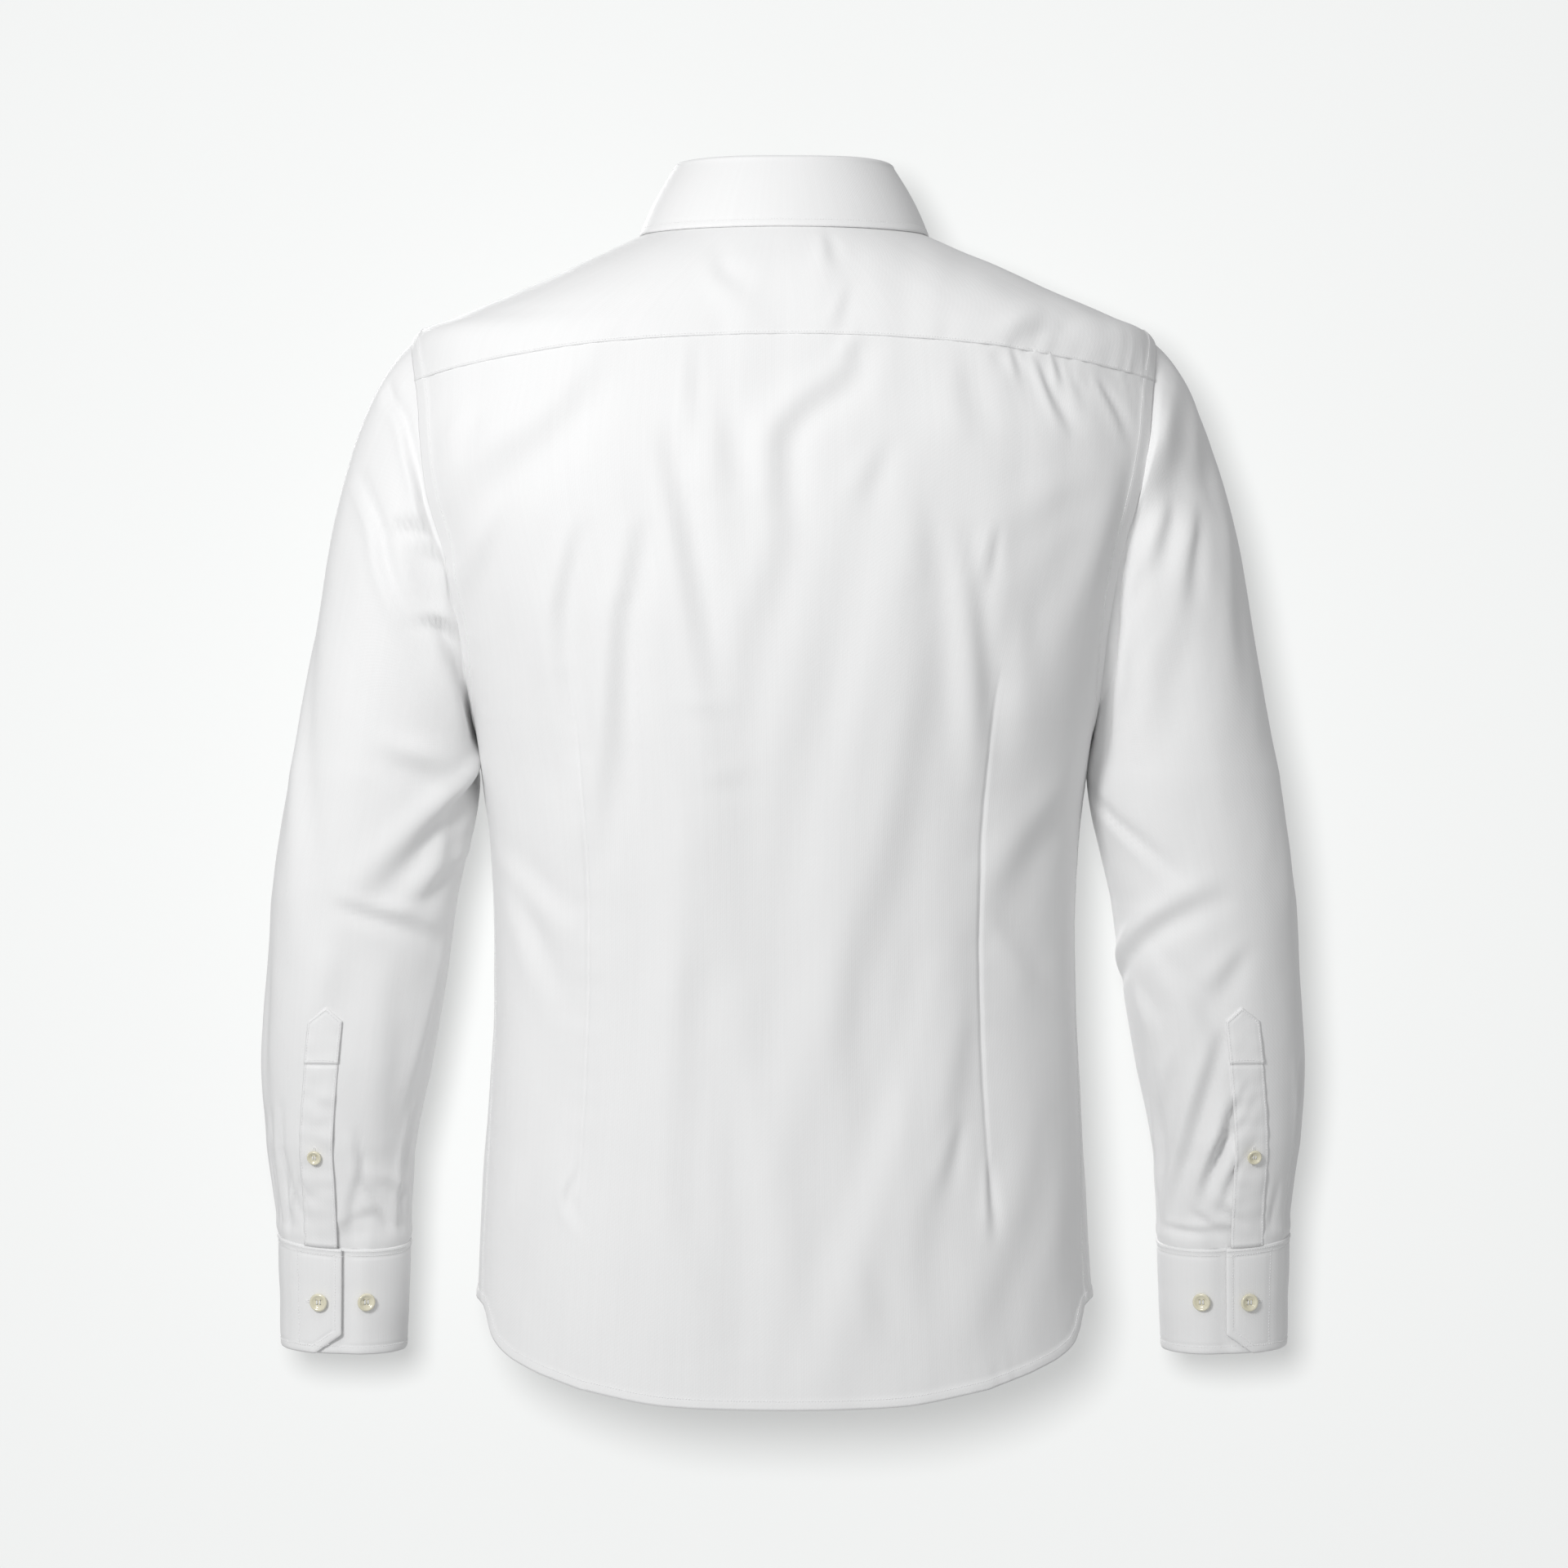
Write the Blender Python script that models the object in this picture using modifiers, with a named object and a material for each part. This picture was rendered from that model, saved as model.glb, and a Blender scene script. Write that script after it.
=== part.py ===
"""A long sleeve dress shirt, hollow as when it is worn and buttoned to the neck.

Metres, +Z up. The wearer faces -Y, and +X is the wearer's left. The origin is the middle of the
neck opening, level with the points where the shoulder lines meet the collar.

The body is a stack of rings (RINGS), numbered from the neckline down. A place on it is an angle
round the ring (0 at the wearer's left side, 90 degrees at the middle of the back) and a level,
which is the ring's number. Every cut piece is a grid of such places, thickened to the cloth.
"""

import math
from collections import namedtuple

import bmesh
import bpy
import numpy as np
from mathutils import Vector

# ---------------------------------------------------------------- cloth and seams
CLOTH = 0.0015  # wall of a single layer
DOUBLE_CLOTH = 0.0020  # wall of the collar, the cuffs and the bands
GAP = 0.0003  # between pieces that lie on each other
SEAM_GAP = 0.0005  # between pieces that meet edge to edge
ARMHOLE_GAP = 0.0006  # between the body and the sleeve head
LAP = CLOTH + 2 * GAP  # how far an under layer lies below the one that covers it

# ---------------------------------------------------------------- body
Ring = namedtuple("Ring", "side_z back_z front_z half_width back_y front_y squareness")
RINGS = (
    Ring(0.000, -0.003, -0.084, 0.069, 0.062, 0.072, 2.00),  # neckline
    Ring(-0.010, -0.013, -0.089, 0.092, 0.075, 0.079, 2.00),
    Ring(-0.028, -0.029, -0.097, 0.132, 0.088, 0.088, 2.10),
    Ring(-0.046, -0.046, -0.107, 0.171, 0.097, 0.096, 2.20),
    Ring(-0.061, -0.063, -0.118, 0.206, 0.103, 0.103, 2.30),
    Ring(-0.073, -0.082, -0.132, 0.231, 0.1075, 0.110, 2.40),  # shoulder point
    Ring(-0.105, -0.117, -0.152, 0.239, 0.112, 0.115, 2.45),
    Ring(-0.137, -0.145, -0.172, 0.242, 0.117, 0.119, 2.50),
    Ring(-0.178, -0.182, -0.198, 0.2365, 0.1205, 0.123, 2.50),
    Ring(-0.222, -0.224, -0.232, 0.221, 0.122, 0.125, 2.50),
    Ring(-0.267, -0.267, -0.270, 0.207, 0.1215, 0.124, 2.45),
    Ring(-0.312, -0.312, -0.312, 0.196, 0.119, 0.120, 2.40),  # underarm
    Ring(-0.348, -0.348, -0.348, 0.1898, 0.116, 0.116, 2.35),
    Ring(-0.390, -0.390, -0.390, 0.1846, 0.112, 0.112, 2.35),
    Ring(-0.435, -0.435, -0.435, 0.1822, 0.108, 0.1085, 2.35),
    Ring(-0.480, -0.480, -0.480, 0.1822, 0.105, 0.1065, 2.35),  # waist
    Ring(-0.525, -0.525, -0.525, 0.1839, 0.104, 0.106, 2.35),
    Ring(-0.570, -0.570, -0.570, 0.1866, 0.105, 0.1075, 2.35),
    Ring(-0.615, -0.615, -0.615, 0.1900, 0.1075, 0.1095, 2.35),
    Ring(-0.660, -0.660, -0.660, 0.1928, 0.1105, 0.112, 2.35),
    Ring(-0.705, -0.705, -0.705, 0.1955, 0.113, 0.114, 2.35),
    Ring(-0.750, -0.750, -0.750, 0.1975, 0.115, 0.116, 2.35),
)
SHOULDER_LEVEL = 5.0
UNDERARM_LEVEL = 11.0
ARMHOLE_HALF_DEPTH = 0.062
ARM_STEPS = 24  # places round the armhole and the sleeve
YOKE_STEPS = 3  # of them between the shoulder point and each yoke seam
YOKE_MIDDLE_LEVEL = 5.0  # of the yoke seam, at the middle of the back
YOKE_SEAM_BEND = 2.2

Seam = namedtuple("Seam", "level y")
SIDE_SEAM = (
    Seam(11.0, 0.000),
    Seam(14.0, 0.010),
    Seam(17.0, 0.022),
    Seam(19.5, 0.034),
)

Hem = namedtuple("Hem", "across back_z front_z")
HEM = (
    Hem(0.00, -0.730, -0.712),
    Hem(0.38, -0.728, -0.710),
    Hem(0.63, -0.720, -0.704),
    Hem(0.76, -0.7125, -0.699),
    Hem(0.86, -0.705, -0.693),
    Hem(0.92, -0.696, -0.687),
    Hem(0.975, -0.676, -0.676),
    Hem(1.00, -0.674, -0.674),
)

BACK_SIDE_COLUMNS = 6  # between a side seam and the dart
BACK_MIDDLE_COLUMNS = 12  # between the darts
DART_ACROSS = 0.225  # of the back's width, from either side
DART_TOP_Z = -0.284
DART_BOTTOM_Z = -0.615
DART_DEPTH = 0.0022
BODY_ROWS = 11  # below the underarm
FRONT_COLUMNS = 10  # from the side to the lap
FRONT_LAP = 0.016  # past the middle, of each front
FRONT_LAP_START = 0.030  # from the middle, where the under front begins to dip
FRONT_LAP_COLUMNS = (FRONT_LAP, 0.0, -FRONT_LAP)
YOKE_ROWS = 6

# ---------------------------------------------------------------- front band and its buttons
BAND_WIDTH = 0.032
BAND_ROWS = 24
FRONT_BUTTON_COUNT = 6
FRONT_BUTTON_TOP_Z = -0.150
FRONT_BUTTON_STEP = 0.087

# ---------------------------------------------------------------- collar
Collar = namedtuple("Collar", "place stand_height lean fall_level fall_turn")
COLLAR = (
    Collar(0.00, 0.0345, 0.009, 1.00, 0.0),  # middle of the back
    Collar(0.30, 0.0345, 0.009, 1.02, -1.0),
    Collar(0.55, 0.0340, 0.009, 1.00, 0.0),
    Collar(0.75, 0.0320, 0.006, 1.55, 5.0),
    Collar(0.90, 0.0300, 0.003, 2.60, 13.0),
    Collar(1.00, 0.0290, 0.002, 3.40, 22.0),  # point
)
STAND_STEPS = 36
FALL_STEPS = 40
FALL_ROWS = 6
FALL_OPENING = 5.0  # degrees from the middle of the front to the end of the fold
FALL_CLEARANCE = 0.0016  # of the fall's underside over the body
FALL_OVER = 0.0009  # of the fall's underside over the stand's rim
FALL_FOLD_OUT = 0.0040  # of the fold's outside, past the middle of the stand's wall
FALL_FOLD_SHARE = 0.12  # of the fall's height that the fold takes
FALL_BULGE = 0.0012
STAND_LAP_ANGLE = 13.0  # degrees past the middle

# ---------------------------------------------------------------- sleeves
Arm = namedtuple("Arm", "z centre_x half_width centre_y half_depth squareness")
ARM = (
    Arm(-0.348, 0.2512, 0.0602, -0.001, 0.0570, 2.15),
    Arm(-0.374, 0.2550, 0.0608, -0.002, 0.0560, 2.15),
    Arm(-0.400, 0.2605, 0.0597, -0.003, 0.0548, 2.15),
    Arm(-0.425, 0.2650, 0.0582, -0.004, 0.0535, 2.15),
    Arm(-0.477, 0.2700, 0.0564, -0.007, 0.0510, 2.15),
    Arm(-0.528, 0.2758, 0.0533, -0.011, 0.0480, 2.15),
    Arm(-0.580, 0.2804, 0.0471, -0.016, 0.0430, 2.10),
    Arm(-0.606, 0.2799, 0.0445, -0.019, 0.0390, 2.10),
    Arm(-0.640, 0.2795, 0.0415, -0.022, 0.0340, 2.10),
    Arm(-0.712, 0.2802, 0.0397, -0.026, 0.0330, 2.10),
)
SLEEVE_HEAD_ROWS = 9
SLEEVE_ROWS = 14  # below the head
HEAD_SLOPE = 52.0  # degrees from straight down, where the sleeve leaves the shoulder point
HEAD_PULL = 0.68  # of the shoulder line's reach, at the top of the sleeve head
CUFF_TOP_Z = -0.6405
CUFF_BOTTOM_Z = -0.7105
CUFF_TOP_TILT = (0.0025, -0.0045)  # rise of the top edge towards the outside and the back
CUFF_BOTTOM_TILT = (0.0012, -0.0015)
CUFF_OUT = 0.0006  # of the cuff's outer face past the sleeve's
CUFF_EDGE_ANGLE = 93.0  # where the upper end of the cuff stops
CUFF_LAP_ANGLE = 50.0  # of the under end below it
CUFF_CORNER_ANGLE = 24.0  # that the slanting corner takes
CUFF_CORNER_RISE = 0.013
CUFF_STEPS = 34
CUFF_ROWS = 2
SLEEVE_BAND_EDGE_ANGLE = 89.0  # the open edge of the sleeve placket
SLEEVE_BAND_WIDTH = 0.0218
SLEEVE_BAND_TOP_Z = -0.4915
SLEEVE_BAND_POINT = 0.009
SLEEVE_BAND_ROWS = 9
SLEEVE_BAND_OVER = 0.0008  # of its underside, over the sleeve

# ---------------------------------------------------------------- buttons
BUTTON_RADIUS = 0.0057
BUTTON_THICKNESS = 0.0024
SMALL_BUTTON_RADIUS = 0.0046
BUTTON_SIDES = 14
CUFF_BUTTON_ANGLES = (73.0, 114.0)  # on the upper end, and on the under end beside it
CUFF_BUTTON_Z = -0.6788
SLEEVE_BUTTON_Z = -0.586

# ---------------------------------------------------------------- the largest folds
Fold = namedtuple("Fold", "x0 z0 x1 z1 width depth")
BACK_FOLDS = (
    Fold(0.085, -0.10, 0.072, -0.33, 0.016, -0.0030),
    Fold(-0.005, -0.15, 0.026, -0.26, 0.016, -0.0035),
    Fold(0.045, -0.20, 0.052, -0.42, 0.018, 0.0028),
    Fold(-0.030, -0.22, -0.045, -0.56, 0.022, 0.0026),
    Fold(-0.092, -0.16, -0.104, -0.30, 0.014, -0.0032),
    Fold(0.030, -0.36, 0.010, -0.62, 0.024, -0.0022),
    Fold(-0.160, -0.42, -0.128, -0.53, 0.020, -0.0030),
    Fold(0.160, -0.36, 0.134, -0.46, 0.016, -0.0030),
    Fold(0.150, -0.14, 0.120, -0.20, 0.014, -0.0022),
    Fold(-0.150, -0.12, -0.165, -0.24, 0.016, 0.0026),
)
FRONT_FOLDS = (
    Fold(0.150, -0.30, 0.120, -0.44, 0.018, -0.0030),
    Fold(-0.152, -0.31, -0.126, -0.43, 0.018, -0.0026),
    Fold(0.085, -0.42, 0.070, -0.62, 0.022, 0.0024),
    Fold(-0.090, -0.40, -0.080, -0.60, 0.022, 0.0024),
)

Crease = namedtuple("Crease", "turn0 z0 turn1 z1 width depth")
LEFT_CREASES = (
    Crease(22, -0.110, 62, -0.190, 0.010, -0.0040),
    Crease(40, -0.180, 60, -0.260, 0.014, -0.0030),
    Crease(135, -0.385, 78, -0.440, 0.013, -0.0045),
    Crease(150, -0.420, 100, -0.470, 0.012, 0.0030),
    Crease(50, -0.540, 80, -0.640, 0.012, -0.0030),
    Crease(130, -0.570, 115, -0.640, 0.010, -0.0030),
    Crease(300, -0.400, 250, -0.440, 0.014, -0.0035),
    Crease(20, -0.580, 35, -0.645, 0.009, -0.0032),
)
RIGHT_CREASES = (
    Crease(20, -0.105, 60, -0.180, 0.010, -0.0045),
    Crease(120, -0.300, 95, -0.340, 0.014, -0.0035),
    Crease(130, -0.400, 75, -0.450, 0.013, -0.0045),
    Crease(120, -0.470, 90, -0.520, 0.014, 0.0030),
    Crease(150, -0.540, 100, -0.640, 0.012, -0.0035),
    Crease(290, -0.410, 245, -0.450, 0.014, -0.0035),
    Crease(18, -0.560, 34, -0.645, 0.010, -0.0040),
)

# ---------------------------------------------------------------- colours
WHITE = (0.86, 0.86, 0.87)
PEARL = (0.80, 0.76, 0.66)
COTTON_ROUGHNESS = 0.80
PEARL_ROUGHNESS = 0.28

COLLECTION = "long_sleeve_dress_shirt"


# ================================================================= reading the tables
def smooth_row(table, place):
    """The table's row at a whole or broken place, by a curve through its rows."""
    last = len(table) - 1
    place = min(max(place, 0.0), last)
    first = min(int(place), last - 1)
    t = place - first
    rows = [table[min(max(first + step, 0), last)] for step in (-1, 0, 1, 2)]
    before, here, there, after = (np.array(row) for row in rows)
    pull_here = (there - before) / 2
    pull_there = (after - here) / 2
    value = (
        here * (1 + 2 * t) * (1 - t) ** 2
        + pull_here * t * (1 - t) ** 2
        + there * t * t * (3 - 2 * t)
        - pull_there * t * t * (1 - t)
    )
    return type(table[0])(*value)


def row_at(table, column, value):
    """The table's smooth row where its named column has this value."""
    known = [getattr(row, column) for row in table]
    places = np.arange(len(table))
    if known[0] > known[-1]:
        return smooth_row(table, float(np.interp(-value, np.negative(known), places)))
    return smooth_row(table, float(np.interp(value, known, places)))


def smooth_step(value, start, end):
    t = min(max((value - start) / (end - start), 0.0), 1.0)
    return t * t * (3 - 2 * t)


# ================================================================= the body's surface
def oval(angle, squareness):
    """A point of a unit oval: round at a squareness of 2, and boxier above it."""
    c, s = math.cos(angle), math.sin(angle)
    radius = (abs(c) ** squareness + abs(s) ** squareness) ** (-1 / squareness)
    return radius * c, radius * s


def body_base(angle, level):
    ring = smooth_row(RINGS, level)
    across, along = oval(angle, ring.squareness)
    behind = along > 0
    depth = ring.back_y if behind else ring.front_y
    end_z = ring.back_z if behind else ring.front_z
    z = ring.side_z + (end_z - ring.side_z) * abs(along) ** 1.5
    return Vector((ring.half_width * across, depth * along, z))


def fold_height(folds, x, z):
    """How far soft ridges and troughs lift a point of the front or the back."""
    height = 0.0
    for fold in folds:
        run = Vector((fold.x1 - fold.x0, fold.z1 - fold.z0))
        to_point = Vector((x - fold.x0, z - fold.z0))
        share = to_point.dot(run) / run.length_squared
        nearest = run * min(max(share, 0.0), 1.0)
        off = (to_point - nearest).length
        taper = 1.0 if 0.2 < share < 0.8 else 0.8
        height += fold.depth * taper * math.exp(-((off / fold.width) ** 2))
    return height


def body_normal(angle, level):
    step = 0.02
    along = body_base(angle + step, level) - body_base(angle - step, level)
    down = body_base(angle, level + step) - body_base(angle, max(level - step, 0.0))
    return down.cross(along).normalized()


def body(angle, level, out=0.0):
    """A point of the shirt's body, or one this far outside it."""
    point = body_base(angle, level)
    folds = BACK_FOLDS if point.y > 0 else FRONT_FOLDS
    side = smooth_step(abs(point.y), 0.02, 0.06)
    below_yoke = smooth_step(level, SHOULDER_LEVEL, SHOULDER_LEVEL + 1.5)
    relief = fold_height(folds, point.x, point.z) * side * below_yoke
    return point + body_normal(angle, level) * (out + relief)


def angle_at_y(y, level):
    """The angle on the wearer's left where the ring has this y."""
    ring = smooth_row(RINGS, level)
    along = abs(y) / (ring.back_y if y > 0 else ring.front_y)
    across = (1 - along**ring.squareness) ** (1 / ring.squareness)
    return math.copysign(math.atan2(along, across), y)


def front_angle_at_x(x, level):
    """The angle on the front where the ring has this x."""
    ring = smooth_row(RINGS, level)
    across = x / ring.half_width
    along = (1 - abs(across) ** ring.squareness) ** (1 / ring.squareness)
    return -math.atan2(along, across)


def level_at_z(angle, z):
    levels = np.linspace(SHOULDER_LEVEL, len(RINGS) - 1, 60)
    heights = [body_base(angle, level).z for level in levels]
    return float(np.interp(-z, np.negative(heights), levels))


def armhole_place(turn):
    """(angle, level) on the armhole: turn 0 is the shoulder point, 90 degrees the back."""
    middle = (SHOULDER_LEVEL + UNDERARM_LEVEL) / 2
    half = (UNDERARM_LEVEL - SHOULDER_LEVEL) / 2
    level = middle - half * math.cos(turn)
    return angle_at_y(ARMHOLE_HALF_DEPTH * math.sin(turn), level), level


def side_seam_angle(level):
    return angle_at_y(row_at(SIDE_SEAM, "level", level).y + 1e-9, level)


def hem_place(angle):
    across = abs(oval(angle, RINGS[-1].squareness)[0])
    row = row_at(HEM, "across", across)
    z = row.back_z if math.sin(angle) > 0 else row.front_z
    side = smooth_step(across, 0.93, 0.985)
    z += (HEM[-1].back_z - z) * side
    return angle, level_at_z(angle, z)


ARM_TURN = 2 * math.pi / ARM_STEPS
YOKE_TURN = YOKE_STEPS * ARM_TURN
YOKE_BACK_ANGLE, YOKE_END_LEVEL = armhole_place(YOKE_TURN)
YOKE_FRONT_ANGLE = armhole_place(-YOKE_TURN)[0]


def side_hem_place():
    """Where the side seam reaches the hem."""
    level = level_at_z(0.0, HEM[-1].back_z)
    return side_seam_angle(level), level


# ================================================================= grids of places
def back_columns():
    """Shares of the back's width, with a column on each dart."""
    side = np.linspace(0.0, DART_ACROSS, BACK_SIDE_COLUMNS + 1)
    middle = np.linspace(DART_ACROSS, 1 - DART_ACROSS, BACK_MIDDLE_COLUMNS + 1)
    return [*side, *middle[1:], *(1 - side[::-1])[1:]]


def edge_places(front):
    """The left edge of the back, or of the left front: down the armhole, then the side seam."""
    sign = -1 if front else 1
    turns = np.arange(YOKE_STEPS, ARM_STEPS // 2) * ARM_TURN
    places = [armhole_place(sign * turn) for turn in turns]
    levels = np.linspace(UNDERARM_LEVEL, side_hem_place()[1], BODY_ROWS + 1)
    return places + [(side_seam_angle(level), level) for level in levels]


def blend(first, second, share):
    return tuple(a + (b - a) * share for a, b in zip(first, second))


def patch(top, bottom, start, end, columns, reach):
    """Places between four edges. The side edges bend only the columns within their reach."""
    shares = [(level - start[0][1]) / (start[-1][1] - start[0][1]) for _, level in start]
    grid = []
    for row, share in enumerate(shares):
        first = blend(top[0], bottom[0], share)
        last = blend(top[-1], bottom[-1], share)
        line = []
        for column, across in enumerate(columns):
            place = blend(top[column], bottom[column], share)
            from_start = max(1 - across / reach, 0.0) ** 1.5
            from_end = max(1 - (1 - across) / reach, 0.0) ** 1.5
            line.append(
                tuple(
                    value + from_start * (s - f) + from_end * (e - n)
                    for value, s, f, e, n in zip(place, start[row], first, end[row], last)
                )
            )
        grid.append(line)
    return grid


def yoke_seam_place(share):
    """A place on the back yoke seam, at a share of the way from left to right."""
    angle = YOKE_BACK_ANGLE + (math.pi - 2 * YOKE_BACK_ANGLE) * share
    bend = abs(math.cos(angle) / math.cos(YOKE_BACK_ANGLE)) ** YOKE_SEAM_BEND
    return angle, YOKE_MIDDLE_LEVEL + (YOKE_END_LEVEL - YOKE_MIDDLE_LEVEL) * bend


# ================================================================= making pieces
def clear_scene():
    for obj in list(bpy.data.objects):
        bpy.data.objects.remove(obj, do_unlink=True)


def material(name, colour, roughness):
    made = bpy.data.materials.new(name)
    made.use_nodes = True
    shader = made.node_tree.nodes["Principled BSDF"]
    shader.inputs["Base Color"].default_value = (*colour, 1.0)
    shader.inputs["Roughness"].default_value = roughness
    shader.inputs["Metallic"].default_value = 0.0
    return made


def add_object(name, mesh, colour=WHITE, roughness=COTTON_ROUGHNESS):
    made = bpy.data.objects.new(name, mesh)
    made.data.materials.append(material(name, colour, roughness))
    bpy.data.collections[COLLECTION].objects.link(made)
    return made


def thicken(obj, thickness):
    solidify = obj.modifiers.new("cloth", "SOLIDIFY")
    solidify.thickness = thickness
    solidify.offset = -1.0
    solidify.use_quality_normals = True


def trimmed(points):
    """The grid's points with each outer edge drawn in by half a seam's gap."""
    grid = np.array(points)
    moved = grid.copy()
    for edge, inner in ((0, 1), (-1, -2)):
        for axis in (0, 1):
            at = (edge, slice(None)) if axis == 0 else (slice(None), edge)
            to = (inner, slice(None)) if axis == 0 else (slice(None), inner)
            way = grid[to] - grid[at]
            length = np.linalg.norm(way, axis=-1, keepdims=True)
            moved[at] += way / length * SEAM_GAP / 2
    return moved


def cloth(name, points, thickness=CLOTH, closed=False, outside=None):
    """A piece of cloth through rows of points, thickened inwards from the outside face."""
    rows, columns = len(points), len(points[0])
    bm = bmesh.new()
    bmesh.ops.create_grid(bm, x_segments=columns - 1, y_segments=rows - 1, size=0.5)
    for vertex in bm.verts:
        column = round((vertex.co.x + 0.5) * (columns - 1))
        row = round((vertex.co.y + 0.5) * (rows - 1))
        vertex.co = Vector(points[row][column])
    if closed:
        bmesh.ops.remove_doubles(bm, verts=bm.verts, dist=1e-6)
    if outside is not None:
        face_outwards(bm, outside)
    mesh = bpy.data.meshes.new(name)
    bm.to_mesh(mesh)
    bm.free()
    mesh.shade_smooth()
    made = add_object(name, mesh)
    thicken(made, thickness)
    return made


def face_outwards(bm, centre):
    """Turns all faces round if most of them look towards the line that they stand around."""
    bm.normal_update()
    looking = 0.0
    for face in bm.faces:
        middle = face.calc_center_median()
        away = middle - centre(middle.z)
        looking += face.calc_area() * face.normal.dot(away.normalized())
    if looking < 0:
        bmesh.ops.reverse_faces(bm, faces=bm.faces)


def body_centre(z):
    return Vector((0.0, 0.0, min(z, -0.15)))


# ================================================================= body pieces
def dart_pull(share, z):
    on_dart = min(abs(share - DART_ACROSS), abs(share - 1 + DART_ACROSS)) < 1e-6
    if not on_dart:
        return 0.0
    middle = (DART_TOP_Z + DART_BOTTOM_Z) / 2
    half = (DART_TOP_Z - DART_BOTTOM_Z) / 2
    return DART_DEPTH * max(1 - ((z - middle) / half) ** 2, 0.0)


def build_back():
    columns = back_columns()
    top = [yoke_seam_place(share) for share in columns]
    side_angle = side_hem_place()[0]
    bottom = [hem_place(side_angle + (math.pi - 2 * side_angle) * share) for share in columns]
    start = edge_places(front=False)
    end = [(math.pi - angle, level) for angle, level in start]
    places = patch(top, bottom, start, end, columns, reach=DART_ACROSS)
    points = []
    for line in places:
        row = []
        for share, (angle, level) in zip(columns, line):
            pull = dart_pull(share, body_base(angle, level).z)
            row.append(body(angle, level, -pull))
        points.append(row)
    cloth("back", trimmed(points), outside=body_centre)


def build_yoke():
    turns = [step * ARM_TURN for step in range(-YOKE_STEPS, YOKE_STEPS)]
    left = [armhole_place(turn) for turn in turns]
    right = [(math.pi - angle, level) for angle, level in reversed(left)]
    outer = left + [yoke_seam_place(share) for share in back_columns()] + right
    rows = np.linspace(0.0, 1.0, YOKE_ROWS + 1)
    points = [[body(angle, level * row) for angle, level in outer] for row in rows]
    cloth("yoke", trimmed(points), outside=body_centre)


def front_edge():
    """The side edge of the left front: the yoke seam, the armhole, then the side seam."""
    seam = np.linspace(0.0, YOKE_END_LEVEL, YOKE_ROWS + 1)
    return [(YOKE_FRONT_ANGLE, level) for level in seam[:-1]] + edge_places(front=True)


def build_front(name, side):
    """side 1 is the wearer's left front, which laps over the right one."""
    side_hem = side_hem_place()[1]
    points = []
    for edge_angle, level in front_edge():
        below = max((level - UNDERARM_LEVEL) / (side_hem - UNDERARM_LEVEL), 0.0)
        lap_angle = front_angle_at_x(FRONT_LAP_START, level)
        row = []
        for across in np.linspace(0.0, 1.0, FRONT_COLUMNS + 1):
            angle = edge_angle + (lap_angle - edge_angle) * across
            drop = (hem_place(angle)[1] - side_hem) * below
            row.append(body(angle if side > 0 else -math.pi - angle, level + drop))
        for x in FRONT_LAP_COLUMNS:
            angle = front_angle_at_x(x * side, level)
            drop = (hem_place(angle)[1] - side_hem) * below
            row.append(body(angle, level + drop, 0.0 if side > 0 else -LAP))
        points.append(row)
    cloth(name, trimmed(points), outside=body_centre)


def build_front_band():
    """The band that the buttons sit on, along the edge of the left front."""
    across = np.linspace(-BAND_WIDTH / 2, BAND_WIDTH / 2, 3)
    hem_level = hem_place(-math.pi / 2)[1]
    levels = np.linspace(0.0, hem_level, BAND_ROWS + 1)
    out = 2 * GAP + DOUBLE_CLOTH
    points = [[body(front_angle_at_x(x, level), level, out) for x in across] for level in levels]
    cloth("front_band", trimmed(points), DOUBLE_CLOTH, outside=body_centre)


# ================================================================= collar
def collar_row(angle):
    """The collar's measures at an angle round the neck."""
    turned = abs((angle - math.pi / 2 + math.pi) % (2 * math.pi) - math.pi)
    end = math.pi - math.radians(FALL_OPENING)
    return row_at(COLLAR, "place", min(turned / end, 1.0))


def stand_point(angle, height, out=0.0):
    """A point of the collar stand: height 0 is its seam and 1 its top edge."""
    foot = body(angle, 0.0)
    row = collar_row(angle)
    away = Vector((foot.x, foot.y, 0.0)).normalized()
    lean = row.lean * height
    rise = row.stand_height * height
    return foot + away * (out - lean) + Vector((0.0, 0.0, rise))


def stand_lap(angle):
    """How far the end under the lap lies inside the other."""
    past = math.degrees(angle - 1.5 * math.pi)
    return (DOUBLE_CLOTH + GAP) * smooth_step(past, -STAND_LAP_ANGLE * 2, -STAND_LAP_ANGLE)


def build_stand():
    lap = math.radians(STAND_LAP_ANGLE)
    angles = np.linspace(-math.pi / 2 - lap, 1.5 * math.pi + lap, STAND_STEPS + 1)
    foot = GAP / RINGS[0].half_width
    points = []
    for height in (0.02 + foot, 0.5, 1.0):
        points.append([stand_point(angle, height, -stand_lap(angle)) for angle in angles])
    cloth("collar_stand", points, DOUBLE_CLOTH, outside=body_centre)


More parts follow.
